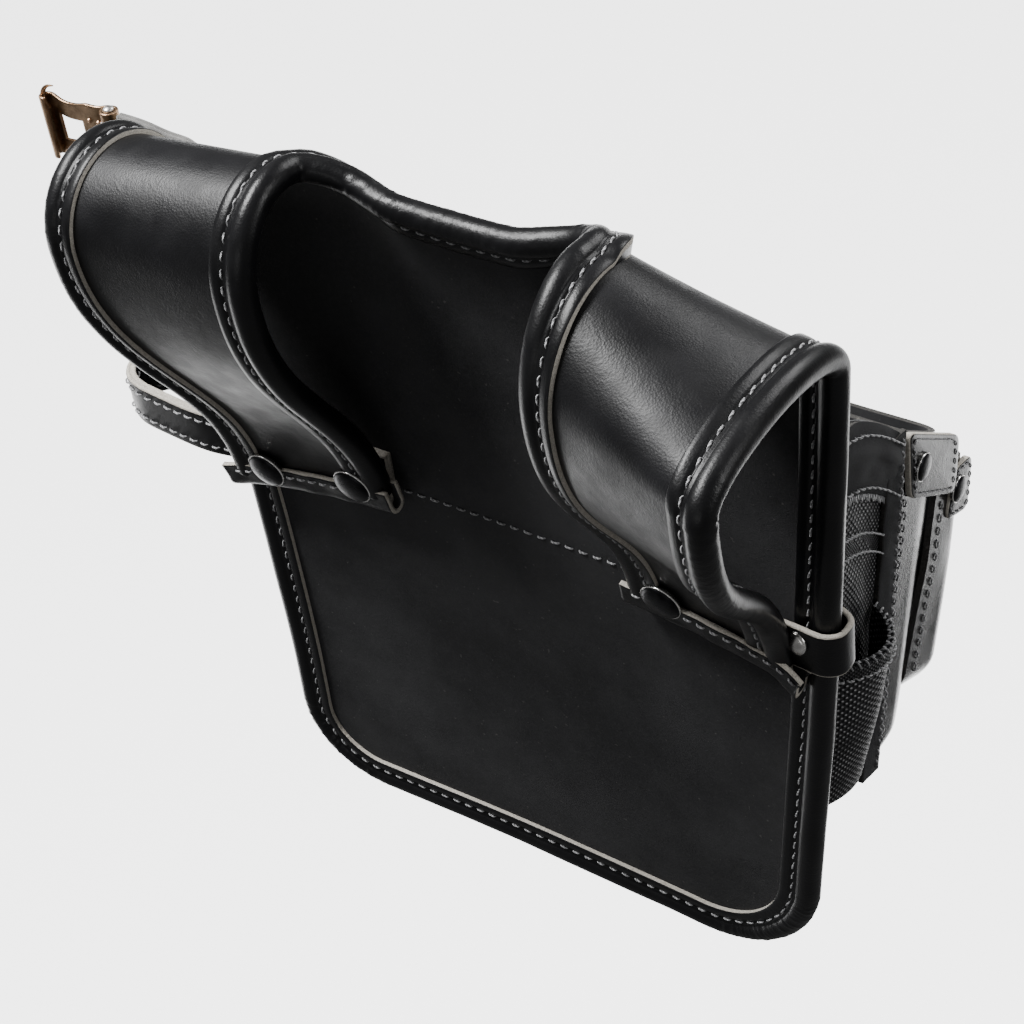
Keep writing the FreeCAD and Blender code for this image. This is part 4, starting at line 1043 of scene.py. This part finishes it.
def make_main_pocket():
    """Nylon gussets with leather top bands and seam strips, the leather front wall and floor."""
    for side, sign in (("right", 1), ("left", -1)):
        out = (sign, 0, 0)
        points = patch([at(sign, GUSSET_X - 0.8, HEEL), at(sign, GUSSET_X - 0.8, TOE),
                        at(sign, GUSSET_X - 0.8, LIP), at(sign, GUSSET_X - 0.8, BACK)], 30, 60, 1.2, out, 0.7, 3 * sign)
        points[..., 2] += ARCH * np.sin(np.pi * np.linspace(0, 1, 30))[:, None] * np.linspace(0, 1, 60) ** 2
        cloth = wall("gusset_cloth_" + side, points, 1.3, [NYLON, NYLON, NYLON], "nylon_mesh", "gusset_" + side)
        cloth_grid = points
        band = [at(sign, GUSSET_X + 1.1, BACK + (0, -26)), at(sign, GUSSET_X + 1.1, LIP + (-4, -24)),
                at(sign, GUSSET_X + 1.1, LIP), at(sign, GUSSET_X + 1.1, BACK)]
        points = patch(band, 24, 16, 1.6, out, 0.9, 7 + sign)
        share = np.linspace(0, 1, 16)[None, :]
        points[..., 0] += sign * 1.3 * np.exp(-((share - 0.62) / 0.10) ** 2)
        points[..., 2] += ARCH * np.sin(np.pi * np.linspace(0, 1, 24))[:, None]
        wall("gusset_top_band_" + side, points, 1.8, [POLISHED, FLESH, DYED], "gloss_leather", "gusset_band_" + side)
        extras = make_gusset_sewing(side, sign, band)
        declare_cloth(cloth_grid)
        strip = [at(sign, GUSSET_X + 1.5, TOE + (-9.5, 4.0)), at(sign, GUSSET_X + 1.5, TOE + (1.5, 1.0)),
                 at(sign, GUSSET_X + 1.5, LIP + (1.5, 1.0)), at(sign, GUSSET_X + 1.5, LIP + (-9.5, 3.0))]
        points = patch(strip, 10, 60, 0.9, out, 0.5, 13 + sign)
        wall("gusset_seam_strip_" + side, points, 1.9, [POLISHED, FLESH, DYED], "gloss_leather", "seam_flange_" + side)
        line = points[7] + np.array([sign * 1.0, 0, 0])
        stitch_row("gusset_seam_stitching_" + side, line, np.broadcast_to([sign, 0, 0], line.shape), pitch=4.4,
                   length=3.0, width=0.36)
    face = [(-GUSSET_X - 1, *(TOE + (1.2, 0))), (GUSSET_X + 1, *(TOE + (1.2, 0))),
            (GUSSET_X + 1, *(LIP + (1.2, 0))), (-GUSSET_X - 1, *(LIP + (1.2, 0)))]
    points = patch(face, 60, 40, 1.0, (0, 1, 0), 0.6, 21)
    wall("main_front_wall", points, 2.3, [POLISHED, FLESH, DYED], "gloss_leather", "main_pocket_front")
    line = points[2:-2, -1] + np.array([0, 1.2, -4.0])
    stitch_row("main_lip_stitching", line, np.broadcast_to([0, 0.98, 0.14], line.shape), width=0.36)
    base = [(-GUSSET_X + 0.5, *(HEEL + (0.5, -1.2))), (GUSSET_X - 0.5, *(HEEL + (0.5, -1.2))),
            (GUSSET_X - 0.5, *(TOE + (0, -1.2))), (-GUSSET_X + 0.5, *(TOE + (0, -1.2)))]
    points = patch(base, 50, 16, 1.6, (0, 0, -1), 0.6, 31)
    wall("main_floor", points, 2.3, [POLISHED, FLESH, DYED], "gloss_leather", "main_pocket_bottom")


def make_gusset_sewing(side, sign, band):
    """The top band's rows, the overlocked fringe under it and the nylon hem lower down."""
    low_a, low_b, top_b, top_a = (np.array(p) for p in band)
    sewing = Lump()
    out = np.array([sign, 0, 0.0])

    def level(count, share, drop, gap):
        t = np.linspace(0.02, 0.98, count)[:, None]
        line = lerp(lerp(low_a, low_b, t), lerp(top_a, top_b, t), share) + out * gap
        line[:, 2] += ARCH * np.sin(np.pi * t[:, 0]) + drop
        return line

    for share, gap, drop, pitch in ((0.10, 2.4, 0, 4.2), (0.84, 2.2, 0, 4.2), (0, 0.8, -15.4, 3.0), (0, 0.8, -22.8, 3.0)):
        line = level(60, share, drop, gap)
        add_stitches(sewing, relax(line), np.broadcast_to(out, line.shape), pitch=pitch, length=0.72 * pitch, width=0.38)
    fringe = level(150, 0, -1.3, 0.5)
    fringe[:, 2] += 1.7 * np.sin(np.arange(150) * 1.9)
    sewing.grid(tube(relax(fringe), 0.33, 6), closed=True)
    sewn = sewing.build("gusset_sewing_" + side, [THREAD], "nylon_mesh")
    rows = [level(24, 0, drop, -0.9) for drop in np.linspace(-24.0, -15.0, 8)]
    points = np.stack(rows, 1)
    hem = wall("gusset_hem_" + side, points, 1.2, [NYLON_FINE, NYLON_FINE, NYLON_FINE], "nylon_mesh")
    return sewn, hem


def side_pocket_rim(count):
    """The side pocket's mouth: from its back seam, out round the bow, to its front seam."""
    u = np.linspace(0, 1, count)
    swell = np.sin(np.pi * u ** 1.15) ** 0.72
    y = SIDE_LOW[1] + (SIDE_HIGH[1] + 7.0 - SIDE_LOW[1]) * u
    x = GUSSET_X + 0.6 + 1.8 * u + (SIDE_HIGH[0] - GUSSET_X - 1.2) * swell
    return np.stack([x, y, SIDE_HIGH[2] + 3.0 - 3.2 * u - 2.0 * swell], -1)


def make_side_pocket():
    """The bowed nylon pocket on the right gusset, hanging open, with an overcast hem."""
    across = 40
    rim = side_pocket_rim(across)
    foot = rim.copy()
    foot[:, 0] = GUSSET_X + 0.6 + 0.45 * (rim[:, 0] - GUSSET_X - 0.6)
    foot[:, 1] = np.linspace(SIDE_LOW[1], SIDE_HIGH[1] - 1.5, across)
    foot[:, 2] = SIDE_LOW[2] + 3.5
    v = np.linspace(0, 1, 40)
    full = 1.6 * np.sin(np.pi * np.linspace(0, 1, across))[:, None] * np.sin(np.pi * v)[None]
    points = lerp(foot[:, None], rim[:, None], (v ** 0.8)[None, :, None])
    points[..., 0] += full
    base = lerp(foot, np.stack([np.full(across, GUSSET_X + 0.6), foot[:, 1], foot[:, 2] + 0.4], -1), 0.9)
    points = np.concatenate([base[:, None], points], 1)
    cloth = wall("side_pocket_cloth", points, 1.1, [NYLON, NYLON, NYLON], "nylon_mesh", "side_pocket")
    outward = unit(np.cross([0, 0, -1.0], np.gradient(rim, axis=0)))
    outward *= np.sign(outward[across // 2, 0])
    hem = np.stack([rim + outward * 0.9 + np.array([0, 0, -drop]) for drop in np.linspace(0.4, 5.2, 6)], 1)
    hemmed = wall("side_pocket_hem", hem, 0.9, [NYLON_FINE, NYLON_FINE, NYLON_FINE], "nylon_mesh")
    sewing = Lump()
    line = resample(rim + outward * 1.5, 0.33)
    out = resample(rim, 0.33, outward)[1]
    out = out[np.minimum(np.arange(len(line)), len(out) - 1)]
    turn = np.arange(len(line)) * 0.78
    wrap = line - out * (0.9 + 1.0 * np.cos(turn))[:, None]
    wrap[:, 2] += 1.3 * np.sin(turn) - 0.9
    sewing.grid(tube(relax(wrap), 0.3, 6), closed=True)
    row = line.copy()
    row[:, 2] -= 5.4
    add_stitches(sewing, relax(row), out, pitch=3.2, length=2.5, width=0.34)
    sewn = sewing.build("side_pocket_sewing", [THREAD], "nylon_mesh")
    declare_cloth(points)


SIDE_LOW, SIDE_HIGH = node_box("side_pocket")


def pocket_shell(name, half, back, front, radius, thick, replaces, seed):
    """An open leather pocket: rounded in plan and at its foot, leaning as its side view says.
    back and front are each a lower and an upper side-view point."""
    back = [np.array(p, float) for p in back]
    front = [np.array(p, float) for p in front]
    corner_turn = np.linspace(0, np.pi / 2, 9)
    depth = front[0][0] - back[0][0]
    side = np.linspace(0, 1, 12, endpoint=False)
    outline = [(half, f * (1 - radius / max(depth, radius + 6))) for f in side]
    outline += [(half - radius + radius * math.cos(a), 1 - radius / max(depth, radius + 6) * (1 - math.sin(a)))
                for a in corner_turn]
    face = np.linspace(half - radius, 0, 30)[1:]
    outline += [(x, 1.0) for x in face]
    outline += [(-x, f) for x, f in reversed(outline[:-1])]
    outline = np.array(outline)
    rows = 60
    v = np.linspace(0, 1, rows)
    points = np.empty((len(outline), rows, 3))
    for i, (x, f) in enumerate(outline):
        low = lerp(back[0], front[0], f)
        top = lerp(back[1], front[1], f)
        spot = low + (top - low) * v[:, None]
        rise = v * np.linalg.norm(top - low)
        tuck = radius - np.sqrt(np.clip(radius ** 2 - np.clip(radius - rise, 0, radius) ** 2, 0, None))
        swell = 0.9 * np.sin(np.pi * v) ** 0.7
        points[i, :, 0] = np.sign(x) * np.clip(abs(x) - tuck * (abs(x) > half - radius - 2) + swell * (abs(x) > half - 1), 0, None)
        points[i, :, 1] = spot[:, 0] - tuck * f + swell * 0.9 * f
        points[i, :, 2] = spot[:, 1]
        for j in range(rows):
            wave = noise.noise(Vector((x / 26.0, v[j] * 4.0, seed)))
            points[i, j, 1] += 0.9 * wave * f * ease((f - 0.6) / 0.4)
            points[i, j, 0] += np.sign(x) * 0.8 * wave * (1 - ease((f - 0.4) / 0.5))
    lump = Lump()
    relaxed = relax(points)
    lump.grid(relaxed, uvs=sheet_uv(points))
    foot = points[:, 0]
    back_line = foot.copy()
    back_line[:, 1] = back[0][0]
    back_line[:, 2] = back[0][1] + 0.6
    base = np.stack([relax(lerp(foot, back_line, t)) for t in np.linspace(0, 1, 8)], 1)
    lump.grid(base)
    lump.build(name, [FLESH, POLISHED, DYED], "gloss_leather", replaces=replaces, thick=thick, weld=0.02)
    rim = points[2:-2, -5]
    tangent = unit(np.gradient(rim, axis=0))
    out = unit(np.cross(tangent, np.array([0.0, 0.0, 1.0])))
    out *= np.sign((out[:1, 0] * rim[:1, 0]))[:, None]
    sewing = Lump()
    add_stitches(sewing, relax(rim + out * thick / 2), out, width=0.36)
    for sign in (1, -1):
        column = 4 if sign > 0 else len(outline) - 5
        line = points[column, 4:-8] + np.array([sign * thick / 2, 0, 0])
        add_stitches(sewing, relax(line), np.broadcast_to([sign, 0, 0.0], line.shape), width=0.36, pitch=4.6,
                     length=3.2)
    sewing.build(name + "_stitching", [THREAD], "gloss_leather")
    return points


def make_front_pockets():
    low, high = node_box("middle_pocket")
    pocket_shell("middle_pocket_shell", high[0] - 1.2, [TOE + (2.6, -5), LIP + (2.8, -2)],
                 [(MID_TOE_Y - 0.5, low[2] + 1.0), (high[1] - 1.2, MID_LIP_Z)], 10.0, 2.3, "middle_pocket", 51)
    low, high = node_box("front_pocket")
    pocket_shell("front_pocket_shell", high[0] + 4.0, [(low[1] - 4.2, FRONT_HEEL_Z), (high[1] - 20.6, FRONT_LIP_Z + 8)],
                 [(FRONT_TOE_Y - 0.5, low[2] + 1.0), (high[1] - 1.2, FRONT_LIP_Z)], 9.0, 2.3, "front_pocket", 57)


MID_TOE_Y = 90.0
MID_LIP_Z = -62.0
FRONT_TOE_Y = 117.5
FRONT_HEEL_Z = -150.0
FRONT_LIP_Z = -79.0

MIDDLE_TAB = [(89.0, -36.5), (124.5, -62.0), (122.5, -84.5), (90.5, -63.5)]
FRONT_TAB = [(125.4, -77.5), (138.0, -80.0), (135.3, -101.0), (119.5, -95.0)]
TAB_SHIFT = {"middle": 0.8, "front": 4.2}


def rounded(corners, radius, steps=6):
    """A polygon with its corners rounded, as a ring of 2-D points."""
    ring = []
    count = len(corners)
    for i in range(count):
        before, here, after = (np.array(corners[(i + k) % count], float) for k in (-1, 0, 1))
        a = here + unit(before - here) * radius
        b = here + unit(after - here) * radius
        for t in np.linspace(0, 1, steps):
            ring.append((1 - t) ** 2 * a + 2 * t * (1 - t) * here + t * t * b)
    return np.array(ring)


def tab_piece(name, corners, sign, x, thick, replaces, seed):
    """A folded reinforcement tab: a rounded pad with a cut edge and a row of stitches."""
    rings = []
    outline = resample(np.concatenate([rounded(corners, 4.0), rounded(corners, 4.0)[:1]]), 1.2)[:-1]
    centre = outline.mean(0)
    levels = [(1.0, 0.0, 2), (1.0, thick * 0.75, 2), (0.985, thick * 0.95, 0), (0.94, thick, 0), (0.8, thick * 1.03, 0),
              (0.5, thick * 1.12, 0), (0.2, thick * 1.15, 0), (0.01, thick * 1.15, 0)]
    for scale, lift, _ in levels:
        ring = lerp(centre, outline, scale)
        rings.append(np.stack([np.full(len(ring), sign * (x + lift)), ring[:, 0], ring[:, 1]], -1))
    lump = Lump()
    per_face = [mat for _, _, mat in levels[:-1] for _ in range(len(outline))]
    lump.grid(np.array(rings), closed=True, mat=per_face)
    lump.grid(np.array([rings[0], lerp(rings[0].mean(0), rings[0], 0.01)]), closed=True, mat=1)
    lump.build(name, [POLISHED, FLESH, RAW], "gloss_leather", replaces=replaces)
    inner = lerp(centre, outline, 0.84)
    line = np.stack([np.full(len(inner), sign * (x + thick + 0.05)), inner[:, 0], inner[:, 1]], -1)
    line = np.concatenate([line, line[:1]])
    sewing = Lump()
    add_stitches(sewing, line, np.broadcast_to([sign, 0, 0.0], line.shape), width=0.26, lift=0.02, pitch=3.6, length=2.5)
    sewing.build(name + "_stitching", [THREAD], "gloss_leather")


def make_tabs():
    for label, corners in (("middle", MIDDLE_TAB), ("front", FRONT_TAB)):
        caps = Lump()
        rivet_low, rivet_high = node_box(label + "_tab_rivets")
        for side, sign in (("right", 1), ("left", -1)):
            node = "%s_pocket_tab_%s" % (label, side)
            low, high = node_box(node)
            x = low[0] if sign > 0 else -high[0]
            x += TAB_SHIFT[label]
            tab_piece("%s_tab_%s" % (label, side), corners, sign, x + 0.2, high[0] - low[0] - 0.3, node, sign)
            middle = (rivet_low + rivet_high) / 2
            y = middle[1] + (4.0 if label == "front" else 0.0)
            place = np.array([sign * (x + high[0] - low[0] + 0.3), y, middle[2]])
            rivet_cap(caps, place, (sign, 0, 0), 4.8, 1.8)
        caps.build(label + "_tab_rivet_caps", [GUNMETAL, BRIGHT], "dark_rivet", replaces=label + "_tab_rivets")


def make_lining():
    """The inner panel behind the pockets, sewn to the back panel's other face."""
    low, high = LINING_LOW, LINING_HIGH
    y = (low[1] + high[1]) / 2 + 0.2
    points = patch([(low[0], y, low[2]), (high[0], y, low[2]), (high[0], y, high[2]), (low[0], y, high[2])],
                   50, 40, 0.3, (0, 1, 0), 0.4, 71)
    wall("inner_panel", points, 2.2, [FLESH, FLESH, RAW], "matte_leather", "inner_back_panel")
    t = np.linspace(0.02, 0.98, 100)[:, None]
    line = lerp(points[0, -1], points[-1, -1], t) + np.array([0, 1.1, -6.2])
    stitch_row("inner_panel_stitching", line, np.broadcast_to([0, 1, 0.0], line.shape), slot="matte_leather",
               width=0.36)


# ------------------------------------------------------------------ strap, pin and hook

def make_hanger():
    """The suede strap over the roll, doubled round the pin, with its two small rivets."""
    low, high = node_box("hanger_strap")
    y = FRONT + 1.6
    over = PIN[1] - 0.25
    plan = [(-84, y), (-95, y), (-106, y + 0.3), (-114.5, over), (-126, over), (-144.4, over)]
    strap("hanger_strap_suede", plan, 2.8, low[2], high[2], "suede_leather", "hanger_strap",
          [SUEDE, SUEDE, SUEDE], layers=2)
    turn = np.radians(np.linspace(80, 280, 9))
    round_pin = [(PIN[0] + 2.45 * math.cos(a), PIN[1] + 2.45 * math.sin(a)) for a in turn]
    eye = [(PIN[0] + 8, PIN[1] + 0.5), (PIN[0] + 4, PIN[1] + 1.8)] + round_pin
    eye += [(PIN[0] + 4, PIN[1] - 1.8), (PIN[0] + 8, PIN[1] - 0.9)]
    strap("hanger_eye", eye, 1.3, PIN[2] - 4.9, PIN[2] + 4.9, "suede_leather", (), [SUEDE, SUEDE, SUEDE])
    low, high = node_box("hanger_strap_rivets")
    caps = Lump()
    for z in (30.0, 40.0):
        place = relax(np.array([(low[0] + high[0]) / 2, high[1] - 1.2, z]))
        rivet_cap(caps, place, (0, 1, 0), 3.8, 1.5)
    caps.build("hanger_rivet_caps", [BRIGHT, BRIGHT], "dark_rivet", replaces="hanger_strap_rivets")


HOOK_LOW, HOOK_HIGH = node_box("tool_hook")


def hook_plan():
    """The hook's sheet in plan: rolled round the pin, straight, then curled at its outer end."""
    roll = np.radians(np.linspace(-185, 95, 15))
    points = [(PIN[0] + 2.55 * math.cos(a), PIN[1] + 2.55 * math.sin(a)) for a in roll]
    bend = HOOK_LOW[0]
    points += [(PIN[0] - 2.4, PIN[1] + 2.0), (PIN[0] - 4.6, PIN[1] + 0.5), (PIN[0] - 7, PIN[1] + 0.05),
               (PIN[0] - 11, PIN[1]), (PIN[0] - 16, PIN[1]), (PIN[0] - 21, PIN[1] + 0.1),
               (bend + 4.4, PIN[1] + 0.7), (bend + 2.2, PIN[1] + 0.9), (bend + 0.7, PIN[1] + 0.1),
               (bend + 0.5, PIN[1] - 1.5), (bend + 1.6, PIN[1] - 2.7), (bend + 3.2, PIN[1] - 2.7)]
    return smooth_route([(x, y, 0.0) for x, y in points], 0.5)


def make_hook():
    """The bronze tool hook: two rolled knuckles, a windowed plate, a curled bar and its tip."""
    plan = hook_plan()
    straight = plan[:, 0] < PIN[0] - 3.2
    out = np.clip((PIN[0] - plan[:, 0]) / (PIN[0] - HOOK_LOW[0]), 0, 1)
    curled = np.arange(len(plan)) > np.argmin(plan[:, 0])
    out[curled] = 1.0
    rows = 25
    arm = ease((out - 0.30) / 0.30)
    bar = ease((out - 0.72) / 0.2)
    level = np.linspace(0, 1, rows)
    points = np.empty((len(plan), rows, 3))
    low_z, high_z = HOOK_LOW[2] + 0.7, HOOK_HIGH[2] - 0.7
    for i in range(len(plan)):
        bend = level.copy()
        bend[17:] = lerp(bend[17:], np.linspace(0.74, 1, 8), arm[i] * (1 - 0.75 * bar[i]))
        bend[:8] = lerp(bend[:8], np.linspace(0, 0.26, 8), arm[i] * (1 - 0.75 * bar[i]))
        dip = 1.3 * math.sin(math.pi * min(max((out[i] - 0.36) / 0.5, 0), 1))
        points[i, :, :2] = plan[i, :2]
        points[i, :, 2] = lerp(low_z, high_z, bend)
        points[i, 17:, 2] -= dip
        points[i, :8, 2] += dip
    faces = []
    for i in range(len(plan) - 1):
        for j in range(rows - 1):
            window = 7 <= j < 17 and 0.44 < out[i] < 0.80 and not curled[i]
            eye = 6 <= j < 18 and (not straight[i] or out[i] < 0.19) and not curled[i]
            if not window and not eye:
                faces.append((i * rows + j, i * rows + j + 1, (i + 1) * rows + j + 1, (i + 1) * rows + j))
    piece = build("tool_hook_plate", points.reshape(-1, 3), faces, [BRONZE, BRONZE, BRONZE], "bronze",
                  replaces="tool_hook", body="hook", thick=1.15)
    piece.modifiers["edge"].width = 0.3 * MM
    details = Lump()
    tip = smooth_route([(HOOK_LOW[0] + 0.9, PIN[1] - 0.5, HOOK_HIGH[2] - 6.0),
                        (HOOK_LOW[0] + 0.4, PIN[1] - 0.5, HOOK_HIGH[2] - 2.5),
                        (HOOK_LOW[0] + 1.2, PIN[1] - 0.5, HOOK_HIGH[2] + 0.4),
                        (HOOK_LOW[0] + 3.4, PIN[1] - 0.5, HOOK_HIGH[2] + 2.4),
                        (HOOK_LOW[0] + 6.4, PIN[1] - 0.5, HOOK_HIGH[2] + 3.2)], 0.6)
    taper = np.linspace(1.5, 0.22, len(tip))
    details.grid(tube(tip, taper, 12), closed=True)
    for x in (PIN[0] - 5.6, PIN[0] - 9.6):
        lathe(details, np.array([x, PIN[1] - 0.6, HOOK_HIGH[2] - 6.5]), (0, -1, 0),
              [(0.01, 0.75), (0.4, 0.7), (0.75, 0.45), (0.9, 0.0)], [0] * 3, 16)
    details.build("tool_hook_tip", [BRONZE], "bronze", body="hook")
    pin = Lump()
    low, high = node_box("hook_pin")
    height = high[2] - low[2]
    outline = [(0.01, height), (0.9, height - 0.1), (1.7, height - 0.5), (1.95, height - 1.0), (1.5, height - 1.45),
               (1.42, height - 2.0), (1.42, 2.0), (1.5, 1.45), (1.95, 1.0), (1.7, 0.5), (0.9, 0.1), (0.01, 0.0)]
    lathe(pin, np.array([PIN[0], PIN[1], low[2]]), (0, 0, 1), outline, [0] * 11, 28)
    pin.build("hinge_pin", [STEEL], "pin_steel", replaces="hook_pin")


def make_threads():
    """The back-stitched knot on the left loop and the loose tail of thread beside it."""
    lump = Lump()
    u, s = KNOT
    out = loop_normal("left", u, s)
    place = loop_point("left", u, s) + out * (HIDE / 2 + 0.9)
    knot = [(0.01, 1.0), (0.7, 0.95), (1.2, 0.6), (1.35, 0.1), (1.2, -0.4), (0.6, -0.8)]
    lathe(lump, relax(place), out, knot, [0] * 5, 18)
    tail = [(u, s, 0.9), (u - 0.010, s + 0.030, 1.3), (u + 0.006, s + 0.062, 0.8), (u - 0.004, s + 0.100, 0.45)]
    route = [loop_point("left", a, b) + loop_normal("left", a, b) * (HIDE / 2 + lift) for a, b, lift in tail]
    lump.grid(tube(relax(smooth_route(route, 0.4)), 0.3, 8), closed=True)
    lump.build("thread_knot", [THREAD], "gloss_leather")


KNOT = (0.05, 0.80)


make_hide()
make_bindings()
make_seam_line()
make_loop_rivets()
make_side_straps()
make_main_pocket()
make_side_pocket()
make_front_pockets()
make_tabs()
make_lining()
make_hanger()
make_hook()
make_threads()

# ------------------------------------------------------------------ camera, floor and light

AZIMUTH = math.radians(39.641)
ELEVATION = math.radians(39.627)
CAMERA_ROLL = math.radians(-8.199)
DISTANCE = 643.35
TARGET = np.array([16.88, 1.54, -33.87])
LENS = 76.82
FLOOR_HALF = 3.0


def make_camera():
    """A camera at the reference viewing angle, slightly rolled."""
    back = np.array([math.sin(AZIMUTH) * math.cos(ELEVATION), -math.cos(AZIMUTH) * math.cos(ELEVATION),
                     math.sin(ELEVATION)])
    right = np.array([math.cos(AZIMUTH), math.sin(AZIMUTH), 0.0])
    up = np.cross(back, right)
    turned = right * math.cos(CAMERA_ROLL) + up * math.sin(CAMERA_ROLL)
    up = up * math.cos(CAMERA_ROLL) - right * math.sin(CAMERA_ROLL)
    place = (TARGET + DISTANCE * back) * MM
    data = bpy.data.cameras.new("camera")
    data.lens = LENS
    data.sensor_width = 36.0
    data.clip_start = 0.01
    data.clip_end = 50.0
    camera = bpy.data.objects.new("camera", data)
    camera.matrix_world = Matrix([[turned[0], up[0], back[0], place[0]], [turned[1], up[1], back[1], place[1]],
                                  [turned[2], up[2], back[2], place[2]], [0, 0, 0, 1]])
    bpy.context.scene.collection.objects.link(camera)
    bpy.context.scene.camera = camera


def make_floor():
    """A pale sweep of floor a little below the hanging pouch, laid out from under it away from the camera."""
    s = Shader("floor")
    tone = s.span(s.noise(1.5, 2), 0.2, 0.8, 0.90, 0.94)
    mat = s.finish(Base_Color=s.node("ShaderNodeCombineColor", i0=tone, i1=tone, i2=tone).outputs[0], Roughness=0.8,
                   Specular_IOR_Level=0.1, Emission_Color=(1.0, 1.0, 1.0), Emission_Strength=3.4)
    bm = bmesh.new()
    bmesh.ops.create_grid(bm, x_segments=8, y_segments=8, size=FLOOR_HALF)
    mesh = bpy.data.meshes.new("floor")
    bm.to_mesh(mesh)
    bm.free()
    mesh.materials.append(mat)
    floor = bpy.data.objects.new("floor", mesh)
    reach = FLOOR_HALF + 0.72
    floor.location = (TARGET[0] * MM - reach * math.sin(AZIMUTH), TARGET[1] * MM + reach * math.cos(AZIMUTH),
                      (BOTTOM - 1200.0) * MM)
    floor.rotation_euler = (0, 0, AZIMUTH)
    bpy.context.scene.collection.objects.link(floor)


def area_light(name, place, size, power, aim=(0.0, 0.0, -0.05)):
    data = bpy.data.lights.new(name, "AREA")
    data.shape = "RECTANGLE"
    data.size, data.size_y = size
    data.energy = power
    lamp = bpy.data.objects.new(name, data)
    lamp.location = place
    lamp.rotation_euler = (Vector(aim) - Vector(place)).to_track_quat("-Z", "Y").to_euler()
    bpy.context.scene.collection.objects.link(lamp)


def make_light():
    world = bpy.data.worlds.new("studio")
    world.use_nodes = True
    world.node_tree.nodes["Background"].inputs["Color"].default_value = (1.0, 1.0, 1.0, 1)
    world.node_tree.nodes["Background"].inputs["Strength"].default_value = 0.22
    bpy.context.scene.world = world
    area_light("key", (-0.75, -0.25, 1.15), (0.75, 0.4), 64)
    area_light("side", (1.3, 0.25, 0.6), (0.22, 0.8), 7)
    area_light("front", (0.3, -1.5, 0.3), (0.9, 0.25), 1.6)
    area_light("back", (0.3, 1.3, 1.0), (1.0, 0.5), 16)


make_camera()
make_floor()
make_light()
